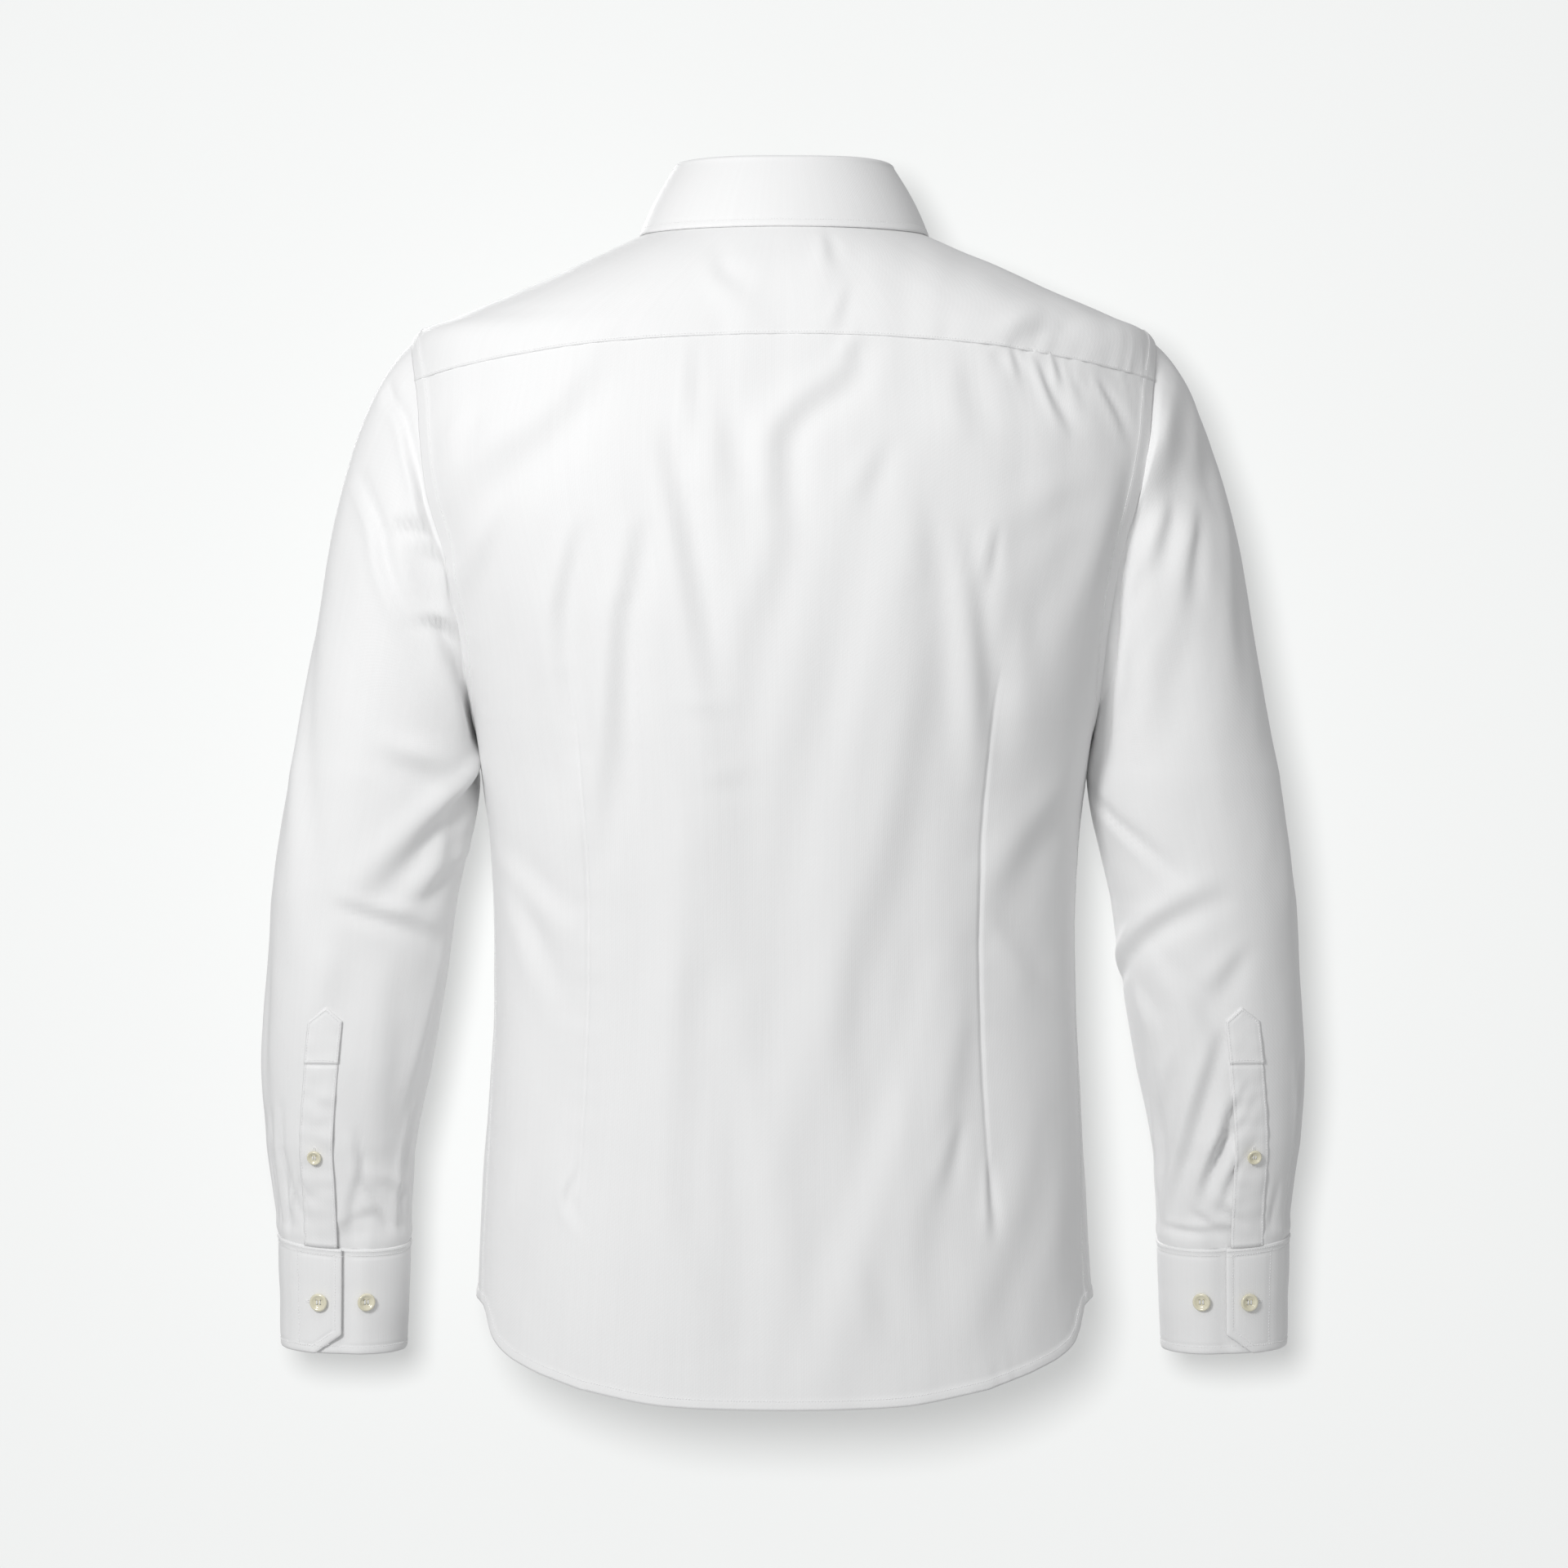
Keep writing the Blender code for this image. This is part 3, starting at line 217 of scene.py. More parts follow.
# ---------------------------------------------------------------- folds, in millimetres
# A path runs through (x, z) on the body and (degrees round, z) on a sleeve. Depth raises the path,
# or sinks it where it is below zero. Roll is a soft step across the path, from a ridge on its upper
# left side, as seen from the back, to a trough on the other; below zero it is the other way round,
# which the light shows as a bright band. Folds widen along their paths.
Fold = namedtuple("Fold", "path depth roll width")
BACK_FOLDS = (
    # under the collar and on the yoke
    Fold(((42, -33), (38, -45), (23, -60)), 0.0, 2.4, 9.0),
    Fold(((-26, -19), (-28, -40)), -0.3, 1.6, 6),
    Fold(((-38, -54), (-31, -80)), 0.0, 1.5, 5),
    Fold(((82, -40), (84, -80)), 0.0, 1.3, 14),
    Fold(((-136, -86), (-151, -73), (-174, -70), (-196, -80)), 0.0, 4.6, 11.2),
    Fold(((-100, -50), (-160, -66)), 0.8, 0.0, 16.8),
    # from the yoke seam down, the deepest one in the middle
    Fold(
        ((-46, -90), (-36, -109), (-12, -126), (2, -146), (3, -178), (2, -206), (10, -242)),
        0.0, 4.5, 12,
    ),
    Fold(((12, -238), (26, -300), (32, -380), (36, -450)), 0.0, 3.8, 21),
    Fold(
        ((-68, -160), (-54, -230), (-39, -300), (-25, -370), (-14, -450), (-8, -540)),
        0.0, -3.6, 20,
    ),
    Fold(
        ((-92, -212), (-86, -290), (-70, -380), (-50, -450), (-30, -520), (-12, -580)),
        0.0, 3.2, 18,
    ),
    Fold(((-44, -84), (-38, -100)), 0.0, 1.6, 5),
    Fold(((56, -86), (56, -120), (54, -147)), 0.0, 2.0, 5),
    Fold(((73, -150), (63, -196), (57, -230), (50, -272), (44, -330)), 0.0, 5.0, 11.5),
    Fold(((39, -132), (31, -181)), 0.0, 3.6, 14),
    Fold(((90, -232), (84, -320), (72, -400), (66, -450)), 0.0, -3.2, 15),
    Fold(((114, -96), (126, -120), (153, -143), (179, -162), (204, -182)), 0.0, 5.2, 18.2),
    Fold(((190, -126), (204, -156)), 0.0, 2.6, 8.4),
    Fold(((173, -190), (183, -211), (193, -236), (196, -262)), 0.0, 4.1, 11.2),
    Fold(((126, -202), (134, -234), (137, -262), (132, -330)), 0.0, 4.8, 9.8),
    Fold(((88, -202), (94, -234), (99, -256), (104, -324), (113, -390)), 0.0, 5.4, 10.6),
    Fold(((-60, -150), (-44, -186)), 0.0, 1.8, 8),
    Fold(((-107, -98), (-109, -120), (-117, -148)), 0.0, 2.6, 11.2),
    Fold(((-83, -190), (-86, -240)), 0.0, 2.0, 11.2),
    # puckers towards the right armhole
    Fold(((-152, -94), (-162, -118), (-173, -138)), -0.8, 3.0, 4.5),
    Fold(((-172, -98), (-182, -124)), 0.0, 1.6, 4),
    Fold(((-191, -106), (-203, -126), (-209, -142)), -0.8, 2.6, 4),
    Fold(((-137, -88), (-143, -108)), -0.4, 1.8, 4),
    Fold(((-124, -86), (-128, -102)), -0.4, 1.4, 3.5),
    Fold(((-165, -96), (-170, -110)), -0.3, 1.4, 3.5),
    Fold(((-180, -100), (-185, -112)), -0.3, 1.4, 3.5),
    Fold(((-190, -172), (-162, -184), (-128, -212)), 0.0, 1.6, 14),
    Fold(((-188, -206), (-162, -260), (-141, -318)), 0.0, -2.4, 17),
    Fold(((-208, -160), (-202, -200), (-188, -240)), 0.0, 3.2, 11.2),
    # beside the right dart
    Fold(((-107, -206), (-112, -228), (-118, -274), (-124, -348)), 0.0, 3.9, 10),
    Fold(((-126, -200), (-122, -232)), 0.0, 2.4, 5),
    Fold(((-100, -236), (-104, -300), (-108, -360)), 0.0, -1.0, 9),
    Fold(((-140, -250), (-137, -320)), 0.0, -1.6, 10),
    Fold(((-177, -356), (-151, -388), (-128, -428)), 0.0, 4.2, 14),
    Fold(((-133, -440), (-158, -474)), 0.0, 2.4, 9.8),
    Fold(((-112, -490), (-100, -560), (-87, -620), (-80, -660)), 0.0, 2.6, 13),
    Fold(((-106, -560), (-95, -600)), 0.0, 2.4, 6),
    Fold(((-125, -586), (-126, -626)), -0.6, 2.6, 4),
    Fold(((-158, -556), (-142, -636), (-118, -690)), 0.0, 2.2, 14),
    Fold(((-176, -600), (-170, -664)), 0.0, 1.6, 11),
    # the middle and the lower back
    Fold(((58, -308), (28, -312)), 0.0, 0.8, 9),
    Fold(((46, -352), (20, -349)), 0.0, 0.9, 9),
    Fold(((58, -440), (58, -520), (62, -600)), 0.0, 3.0, 17),
    Fold(((-86, -468), (-72, -530), (-53, -590), (-32, -650), (-20, -690)), 0.0, -3.6, 18),
    Fold(((24, -550), (14, -630), (6, -700)), 0.0, -3.4, 18),
    Fold(((-46, -640), (-60, -690)), 0.0, 2.0, 12.6),
    Fold(((64, -600), (44, -660), (40, -700)), 0.0, 2.3, 16.8),
    # beside the left dart
    Fold(((173, -395), (148, -422), (122, -444)), 0.0, 2.2, 10),
    Fold(((166, -424), (153, -458), (142, -490)), 0.0, 3.6, 9),
    Fold(((128, -590), (134, -606), (126, -622)), -0.5, 2.0, 4),
    Fold(((160, -600), (176, -650), (180, -680)), 0.0, 3.2, 12.6),
    Fold(((150, -500), (152, -580)), 0.0, 1.7, 16.8),
)
FRONT_FOLDS = (
    Fold(((60, -112), (92, -150), (128, -200)), -0.8, 3.8, 15.6),
    Fold(((-64, -112), (-98, -156), (-136, -214)), -0.8, 4.2, 14.3),
    Fold(((96, -128), (130, -158), (176, -196)), 0.0, 4.2, 13),
    Fold(((-104, -134), (-146, -176), (-182, -206)), 0.0, 4.6, 13),
    Fold(((190, -200), (160, -250), (120, -320)), -0.8, 6.5, 13),
    Fold(((-192, -206), (-158, -262), (-112, -350)), -0.8, 6.8, 14.3),
    Fold(((176, -246), (140, -306), (100, -396)), 0.0, 4.9, 14.3),
    Fold(((-172, -260), (-134, -336), (-98, -426)), 0.0, 4.9, 14.3),
    Fold(((170, -330), (140, -392), (96, -470)), -0.6, 6.5, 14.3),
    Fold(((-168, -350), (-140, -420), (-100, -500)), -0.6, 5.7, 15.6),
    Fold(((60, -210), (52, -300), (58, -400)), 0.0, 3.4, 18.2),
    Fold(((-56, -230), (-62, -330), (-52, -430)), 0.0, 3.4, 16.9),
    Fold(((110, -440), (92, -540), (96, -650)), 0.0, 5.3, 15.6),
    Fold(((-120, -450), (-96, -560), (-100, -660)), 0.0, 5.3, 15.6),
    Fold(((68, -450), (62, -560), (70, -680)), 0.0, 4.2, 15.6),
    Fold(((-70, -470), (-64, -570), (-68, -680)), 0.0, 4.2, 15.6),
    Fold(((150, -480), (146, -580), (152, -660)), 0.0, 4.2, 13),
    Fold(((-152, -500), (-148, -600), (-150, -664)), 0.0, 4.2, 13),
    Fold(((36, -520), (34, -690)), -0.6, 1.9, 10.4),
    Fold(((-38, -540), (-36, -690)), -0.6, 1.9, 10.4),
)
LEFT_CREASES = (
    # the sleeve head
    Fold(
        ((28, -108), (34, -114), (52, -130), (78, -166), (92, -195), (104, -216), (114, -238)),
        -1.2, 4.0, 3.8,
    ),
    Fold(((26, -104), (36, -118)), -1.2, 2.0, 4),
    Fold(((36, -164), (60, -193), (74, -221), (92, -252)), -0.8, 4.6, 4.6),
    Fold(((72, -196), (82, -194), (94, -196)), -1.6, 5.0, 4.2),
    Fold(((92, -208), (106, -214)), -0.8, 3.0, 5),
    Fold(((84, -212), (96, -236), (108, -250)), 0.0, 2.8, 8),
    Fold(((98, -254), (110, -254), (124, -262)), -1.6, 5.0, 4.6),
    Fold(((112, -262), (130, -288), (154, -322)), -1.6, 6.0, 9.2),
    Fold(((-20, -130), (-10, -200), (0, -280)), -0.8, 2.1, 13.8),
    # the elbow
    Fold(((98, -334), (120, -344), (136, -352)), 0.0, 6.2, 11),
    Fold(((196, -322), (166, -347), (132, -374), (114, -399), (100, -416)), -1.0, 9.6, 11),
    Fold(((140, -372), (144, -395), (136, -416)), 0.0, 3.6, 9),
    Fold(((84, -427), (104, -433), (124, -438), (150, -447)), 0.0, 5.4, 7),
    Fold(((180, -400), (150, -408), (128, -426)), 0.0, 4.2, 8),
    Fold(((20, -270), (34, -341), (52, -404), (60, -450)), 0.0, 3.6, 10.3),
    Fold(((166, -446), (157, -496), (150, -550)), 0.0, 3.9, 9.2),
    Fold(((84, -452), (74, -520)), 0.0, 2.4, 13.8),
    Fold(((118, -470), (122, -520), (132, -580)), 0.0, 2.4, 12.6),
    Fold(((210, -330), (260, -372), (300, -388)), -1.2, 6.0, 10.3),
    Fold(((200, -366), (250, -420), (296, -446)), -1.2, 6.3, 11.5),
    Fold(((300, -330), (320, -420), (310, -520)), 0.0, 3.6, 13.8),
    Fold(((240, -460), (262, -540), (256, -610)), 0.0, 3.6, 12.6),
    # gathered at the cuff
    Fold(((14, -460), (12, -520), (16, -560)), 0.0, 3.0, 9.2),
    Fold(((42, -556), (38, -606), (38, -640)), -1.4, 4.0, 4.5),
    Fold(((8, -560), (12, -606), (12, -640)), -1.2, 3.0, 4.5),
    Fold(((56, -596), (66, -640)), -0.8, 2.4, 4),
    Fold(((112, -586), (100, -618), (96, -641)), -0.6, 2.2, 5),
    Fold(((94, -628), (122, -622), (150, -634)), -0.5, 1.6, 5),
    Fold(((118, -600), (140, -606), (160, -616)), 0.0, 2.4, 5),
    Fold(((158, -556), (150, -606), (148, -640)), -0.8, 3.2, 5),
    Fold(((176, -580), (172, -640)), -1.6, 0.0, 6.9),
    Fold(((215, -580), (210, -640)), -1.4, 2.1, 8),
    Fold(((255, -590), (258, -640)), -1.2, 2.1, 8),
    Fold(((300, -580), (305, -640)), -1.4, 2.1, 8),
    Fold(((335, -590), (338, -640)), -1.4, 1.5, 6.9),
    Fold(((104, -572), (112, -604)), -0.8, 3.0, 5),
    Fold(((108, -606), (124, -618), (132, -628)), -1.6, 3.6, 4.5),
    Fold(((44, -588), (50, -612), (60, -632)), -1.4, 2.6, 3.5),
    Fold(((60, -606), (70, -616)), -1.0, 2.0, 3),
    Fold(((26, -560), (22, -600), (26, -634)), -1.6, 3.0, 3.5),
    Fold(((56, -600), (44, -626)), 0.8, 1.6, 3),
)
RIGHT_CREASES = (
    # the sleeve head: a light facet with a crisp edge, then a dark slope
    Fold(((34, -106), (60, -136), (80, -162), (90, -178)), 0.3, 0.0, 4),
    Fold(((32, -112), (54, -142), (76, -170), (86, -187)), -2.0, 12.0, 14),
    Fold(((20, -124), (34, -146), (52, -174)), -0.5, 9.0, 14),
    Fold(((92, -180), (107, -210), (125, -250), (145, -298), (160, -344)), -3.0, 10.0, 9),
    Fold(((112, -216), (130, -254), (149, -298), (163, -348)), -8.0, 0.0, 8),
    Fold(((60, -128), (84, -150)), -0.6, 1.6, 4),
    Fold(((52, -118), (70, -134)), -0.5, 1.4, 4),
    Fold(((72, -182), (84, -205), (94, -226)), -0.8, 4.0, 5.4),
    Fold(((54, -186), (68, -213), (78, -244)), -0.5, 4.0, 6),
    Fold(((96, -214), (104, -236), (110, -250)), -0.4, 2.4, 5),
    Fold(((24, -190), (40, -240), (50, -290)), 0.0, 3.0, 10.3),
    Fold(((86, -258), (100, -290), (112, -330)), 0.0, 3.0, 12),
    Fold(((112, -262), (120, -290), (134, -318)), 0.0, 3.5, 8),
    Fold(((-20, -130), (-10, -200), (0, -280)), -0.8, 1.9, 13.8),
    # the elbow
    Fold(((170, -358), (146, -377), (130, -392), (110, -414)), -1.8, 3.0, 5),
    Fold(((190, -474), (156, -457), (124, -437), (92, -421)), 0.0, 6.8, 8),
    Fold(((74, -456), (98, -486)), -0.6, 3.2, 8),
    Fold(((12, -280), (14, -360), (24, -430)), 0.0, 2.7, 11.5),
    Fold(((128, -462), (110, -486), (98, -520)), 0.0, 3.2, 9.2),
    Fold(((150, -478), (138, -506)), 0.0, 3.0, 8),
    Fold(((210, -340), (260, -380), (300, -398)), -1.2, 5.4, 10.3),
    Fold(((200, -380), (250, -430), (296, -452)), -1.2, 5.4, 11.5),
    Fold(((300, -330), (320, -420), (310, -520)), 0.0, 3.2, 13.8),
    Fold(((240, -470), (262, -550), (256, -610)), 0.0, 3.2, 12.6),
    # the forearm and the cuff
    Fold(((96, -512), (108, -540), (128, -580), (152, -624)), -0.6, 5.9, 6.9),
    Fold(((90, -548), (98, -570), (114, -612)), -0.4, 3.4, 5),
    Fold(((128, -524), (146, -562)), 0.0, 3.2, 6.9),
    Fold(((156, -632), (118, -634), (92, -632)), -0.8, 2.4, 4),
    Fold(((150, -540), (160, -580), (166, -626)), 0.0, 3.2, 8),
    Fold(((30, -530), (22, -590), (28, -640)), -2.4, 5.9, 6.3),
    Fold(((6, -560), (8, -640)), -1.2, 2.2, 5),
    Fold(((62, -600), (66, -640)), -1.4, 0.0, 4.5),
    Fold(((176, -580), (172, -640)), -1.6, 0.0, 6.9),
    Fold(((215, -580), (210, -640)), -1.4, 1.9, 8),
    Fold(((255, -590), (258, -640)), -1.2, 1.9, 8),
    Fold(((300, -580), (305, -640)), -1.4, 1.9, 8),
    Fold(((335, -590), (338, -640)), -1.4, 1.4, 6.9),
    Fold(((80, -540), (92, -560), (112, -600)), -1.0, 4.2, 4.5),
    Fold(((76, -552), (84, -564), (104, -582), (118, -612)), -1.0, 3.6, 4.5),
    Fold(((76, -578), (88, -592), (98, -616)), -1.2, 3.6, 4),
    Fold(((74, -628), (102, -617)), -1.6, 3.0, 4),
    Fold(((104, -630), (122, -621)), -1.4, 2.4, 3.5),
    Fold(((22, -528), (26, -572), (31, -604), (32, -634)), -4.2, 2.0, 3.6),
    Fold(((50, -604), (54, -634)), -1.2, 1.4, 3.5),
)
UPPER_LEFT = (0.73, 0.68)  # on the body, as seen from the back

# ---------------------------------------------------------------- sewing
FELL = 0.010  # width of the felled armhole seam, from the seam to its stitching
SIDE_FELL = 0.006
SEAM_POINTS = 200  # along a seam's line
ARMHOLE_SHARE = 0.42  # of the back's side edges
HEM_WIDTH = 0.0055
HEM_LIFT = 0.0008
HEM_WAVE = 0.007
ARMHOLE_WAVE = 0.012
EDGE_STITCH = 0.0016  # from an edge
WIDE_STITCH = 0.0055
SEAM_LIFT = 0.0007  # of the doubled cloth in a seam
SEAM_GROOVE = 0.00045
Rim = namedtuple("Rim", "stitch drop groove soft groove_soft")
FRONT_BAND_RIM = Rim(WIDE_STITCH, 0.0006, 0.0003, 0.0007, 0.0008)
STAND_RIM = Rim(STAND_STITCH, 0.0005, 0.0003, 0.0008, 0.0008)
FALL_RIM = Rim(WIDE_STITCH, 0.0006, 0.00035, 0.0008, 0.0009)
CUFF_RIM = Rim(WIDE_STITCH, 0.0007, 0.00035, 0.0009, 0.0009)
SLEEVE_BAND_RIM = Rim(SLEEVE_BAND_STITCH, 0.0006, 0.0003, 0.0007, 0.0007)
STITCH_PITCH = 0.0018
STITCH_LENGTH = 0.0014
STITCH_WIDTH = 0.00042
STITCH_REACH = 0.006  # a stitch further off its cloth is left out
CUFF_EDGE_STITCH = 0.0022
SATIN_PITCH = 0.00042  # of the close stitches round a buttonhole

# ---------------------------------------------------------------- camera
PHOTO_SCALE = 0.515 * MM  # metres a pixel, in the plane of the side silhouettes
PHOTO_SIDE = 1920
CAMERA_DISTANCE = 2.4
CAMERA_Z = -0.3533
SENSOR = 36.0


# ================================================================= reading the tables
def smooth_rows(table, places):
    """The table's rows at whole or broken places, by a curve through its rows."""
    rows = np.array(table, float)
    last = len(rows) - 1
    places = np.clip(np.asarray(places, float), 0.0, last)
    first = np.minimum(places.astype(int), last - 1)
    t = (places - first)[..., None]
    before, here, there, after = (rows[np.clip(first + i, 0, last)] for i in (-1, 0, 1, 2))
    value = (
        here * (1 + 2 * t) * (1 - t) ** 2
        + (there - before) / 2 * t * (1 - t) ** 2
        + there * t * t * (3 - 2 * t)
        - (after - here) / 2 * t * t * (1 - t)
    )
    return type(table[0])(*np.moveaxis(value, -1, 0))


def rows_at(table, column, value):
    """The table's smooth rows where its named column has these values."""
    known = np.array([getattr(row, column) for row in table])
    sign = -1.0 if known[0] > known[-1] else 1.0
    places = np.interp(sign * np.asarray(value, float), sign * known, np.arange(len(table)))
    return smooth_rows(table, places)


def smooth_step(value, start, end):
    t = np.clip((value - start) / (end - start), 0.0, 1.0)
    return t * t * (3 - 2 * t)


def bell(off, width, power=2):
    """1 on a line, fading to nothing a little past this width from it."""
    return np.exp(-((off / width) ** power))


def mirror_x(points, side):
    return points * np.array((side, 1.0, 1.0))


def lengths_along(line):
    """How far along a line each of its points is."""
    steps = np.linalg.norm(np.diff(line, axis=0), axis=1)
    return np.concatenate([[0.0], np.cumsum(steps)])


def unit(vectors):
    return vectors / np.maximum(np.linalg.norm(vectors, axis=-1, keepdims=True), 1e-12)


def spread(length, fine_at, fine=FINE, coarse=COARSE, reach=FINE_REACH):
    """Shares from 0 to 1 along a length, closer together near these shares of it."""
    parts = 4000
    along = np.linspace(0.0, 1.0, parts + 1)
    near = np.min([np.abs(along - share) for share in fine_at], axis=0) * length
    step = fine + (coarse - fine) * smooth_step(near, reach, 2.5 * reach)
    count = np.concatenate([[0.0], np.cumsum(length / parts / step[:-1])])
    whole = max(math.ceil(count[-1]), 2)
    return np.interp(np.linspace(0.0, count[-1], whole + 1), count, along)


# ================================================================= folds
Point = namedtuple("Point", "u v")


def smooth_path(path, pieces=6):
    """Points along a curve through the path."""
    if len(path) == 2:
        return np.linspace(path[0], path[1], pieces + 1)
    places = np.linspace(0.0, len(path) - 1, pieces * (len(path) - 1) + 1)
    return np.stack(smooth_rows([Point(*point) for point in path], places), -1)


def fold_relief(folds, u, v, ridge_side=UPPER_LEFT, period=None):
    """How far the folds lift points at (u, v), all in metres."""
    height = np.zeros(u.shape)
    for fold in folds:
        path = smooth_path(fold.path) * MM
        here = u
        if period:
            middle = path[:, 0].mean()
            here = (u - middle + period / 2) % period - period / 2 + middle
        reach = fold.width * MM * 3.4
        near = (here > path[:, 0].min() - reach) & (here < path[:, 0].max() + reach)
        near &= (v > path[:, 1].min() - reach) & (v < path[:, 1].max() + reach)
        if not near.any():
            continue
        points = np.stack([here[near], v[near]], -1)
        starts, runs = path[:-1], np.diff(path, axis=0)
        lengths = np.linalg.norm(runs, axis=1)
        begun = np.cumsum(lengths) - lengths
        to_point = points[:, None, :] - starts
        share = np.clip((to_point * runs).sum(-1) / lengths**2, 0.0, 1.0)
        off = to_point - share[..., None] * runs
        best = (off**2).sum(-1).argmin(axis=1)
        pick = (np.arange(len(points)), best)
        along = (begun[best] + share[pick] * lengths[best]) / lengths.sum()
        width = fold.width * MM * (0.80 + 0.45 * along)
        sides = np.stack([-runs[:, 1], runs[:, 0]], -1) / lengths[:, None]
        chord = path[-1] - path[0]
        if -chord[1] * ridge_side[0] + chord[0] * ridge_side[1] < 0:
            sides = -sides
        across = (off[pick] * sides[best]).sum(-1)
        past_end = np.maximum((off[pick] ** 2).sum(-1) - across**2, 0.0)
        across = across / width
        fade = np.sin(math.pi * (0.08 + 0.84 * along)) ** 0.8 * np.exp(-past_end / width**2)
        lift = fold.depth * np.exp(-np.abs(across) ** 1.7)
        step = fold.roll * 1.166 * across * np.exp(-(across**2))
        height[near] += (lift + step) * fade * MM
    return height


def noise_at(points, size, seed):
    """Soft noise from -1 to 1 at points, its waves about this size, or these along each axis."""
    scaled = np.asarray(points) / np.array(size) + seed * 7.3
    flat = scaled.reshape(-1, 3)
    values = [noise.noise(Vector(point)) for point in flat]
    return np.array(values).reshape(scaled.shape[:-1])


# The cloth's unevenness, in layers of soft noise.
Layer = namedtuple("Layer", "size seed height")
BODY_UNEVEN = (
    Layer((0.050, 0.080, 0.150), 1, 0.0012),
    Layer((0.024, 0.080, 0.130), 3, 0.0011),
    Layer((0.022, 0.030, 0.045), 2, 0.0005),
)
SLEEVE_UNEVEN = (
    Layer((0.030, 0.030, 0.070), 51, 0.0009),
    Layer((0.014, 0.014, 0.022), 52, 0.00025),
)


def unevenness(points, layers):
    return sum(noise_at(points, layer.size, layer.seed) * layer.height for layer in layers)


# ================================================================= the body's form
def oval(angle, squareness):
    c, s = np.cos(angle), np.sin(angle)
    radius = (np.abs(c) ** squareness + np.abs(s) ** squareness) ** (-1 / squareness)
    return radius * c, radius * s


def body_base(angle, level):
    angle, level = np.broadcast_arrays(np.asarray(angle, float), np.asarray(level, float))
    ring = smooth_rows(RINGS, level)
    across, along = oval(angle, ring.squareness)
    behind = along > 0
    depth = np.where(behind, ring.back_y, ring.front_y)
    end_z = np.where(behind, ring.back_z, ring.front_z)
    z = ring.side_z + (end_z - ring.side_z) * np.abs(along) ** 1.5
    return np.stack([ring.half_width * across, depth * along, z], -1)


def body_normal(angle, level):
    step = 0.02
    along = body_base(angle + step, level) - body_base(angle - step, level)
    above = np.maximum(np.asarray(level) - step, 0.0)
    down = body_base(angle, np.asarray(level) + step) - body_base(angle, above)
    return unit(np.cross(down, along))


def body_relief(base, normal):
    """How far folds and the cloth's unevenness lift points of the body."""
    x, y, z = np.moveaxis(base, -1, 0)
    folds = np.where(y > 0, fold_relief(BACK_FOLDS, x, z), fold_relief(FRONT_FOLDS, x, z))
    facing = smooth_step(np.abs(normal[..., 1]), 0.10, 0.45)
    below_neck = smooth_step(-z, 0.010, 0.030)
    return folds * facing + unevenness(base, BODY_UNEVEN) * below_neck


def body(angle, level, out=0.0, relief=True):
    base, normal = body_base(angle, level), body_normal(angle, level)
    lift = body_relief(base, normal) if relief else 0.0
    return base + normal * (np.asarray(out) + lift)[..., None]


def formed(angle, level):
    """(points, normals, relief of the folds) of a piece of the body, flat at the neckline."""
    base, normal = body_base(angle, level), body_normal(angle, level)
    return base, normal, body_relief(base, normal) * smooth_step(level, 0.0, FOLDS_BEGIN)


def angle_at_y(y, level):
    ring = smooth_rows(RINGS, level)
    along = np.abs(y) / np.where(np.asarray(y) > 0, ring.back_y, ring.front_y)
    across = np.maximum(1 - along**ring.squareness, 0.0) ** (1 / ring.squareness)
    return np.copysign(np.arctan2(along, across), y)


def front_angle_at_x(x, level):
    ring = smooth_rows(RINGS, level)
    across = x / ring.half_width
    along = (1 - np.abs(across) ** ring.squareness) ** (1 / ring.squareness)
    return -np.arctan2(along, across)


def level_at_z(angle, z):
    """The level at each angle where the body has this z."""
    levels = np.linspace(SHOULDER_LEVEL, len(RINGS) - 1, 200)
    angles, heights = np.broadcast_arrays(np.atleast_1d(angle), np.atleast_1d(z))
    known = body_base(angles[:, None], levels[None, :])[..., 2]
    return np.array([np.interp(-h, -row, levels) for h, row in zip(heights, known)])


def armhole_place(turn):
    middle = (SHOULDER_LEVEL + UNDERARM_LEVEL) / 2
    half = (UNDERARM_LEVEL - SHOULDER_LEVEL) / 2
    level = middle - half * np.cos(turn)
    return angle_at_y(ARMHOLE_HALF_DEPTH * np.sin(turn) + 1e-12, level), level


def side_seam_angle(level):
    return angle_at_y(rows_at(SIDE_SEAM, "level", level).y + 1e-9, level)


def hem_level(angle):
    across = np.abs(oval(angle, RINGS[-1].squareness)[0])
    row = rows_at(HEM, "across", across)
    z = np.where(np.sin(angle) > 0, row.back_z, row.front_z)
    z = z + (HEM[-1].back_z - z) * smooth_step(across, 0.93, 0.985)
    return level_at_z(angle, z)


YOKE_BACK_ANGLE, YOKE_END_LEVEL = (float(value) for value in armhole_place(YOKE_TURN))
YOKE_FRONT_ANGLE = float(armhole_place(-YOKE_TURN)[0])
SIDE_HEM_LEVEL = float(level_at_z(0.0, HEM[-1].back_z)[0])


def hem_angle(share):
    """The angle at a share of the way across the back's hem."""
    side_angle = float(side_seam_angle(SIDE_HEM_LEVEL))
    return side_angle + (math.pi - 2 * side_angle) * share


def armhole_line(first, last, count, side):
    """Points round the armhole of this side, between two turns."""
    return mirror_x(body_base(*armhole_place(np.linspace(first, last, count))), side)


def side_seam_line(side):
    levels = np.linspace(UNDERARM_LEVEL, SIDE_HEM_LEVEL, SEAM_POINTS)
    return mirror_x(body_base(side_seam_angle(levels), levels), side)


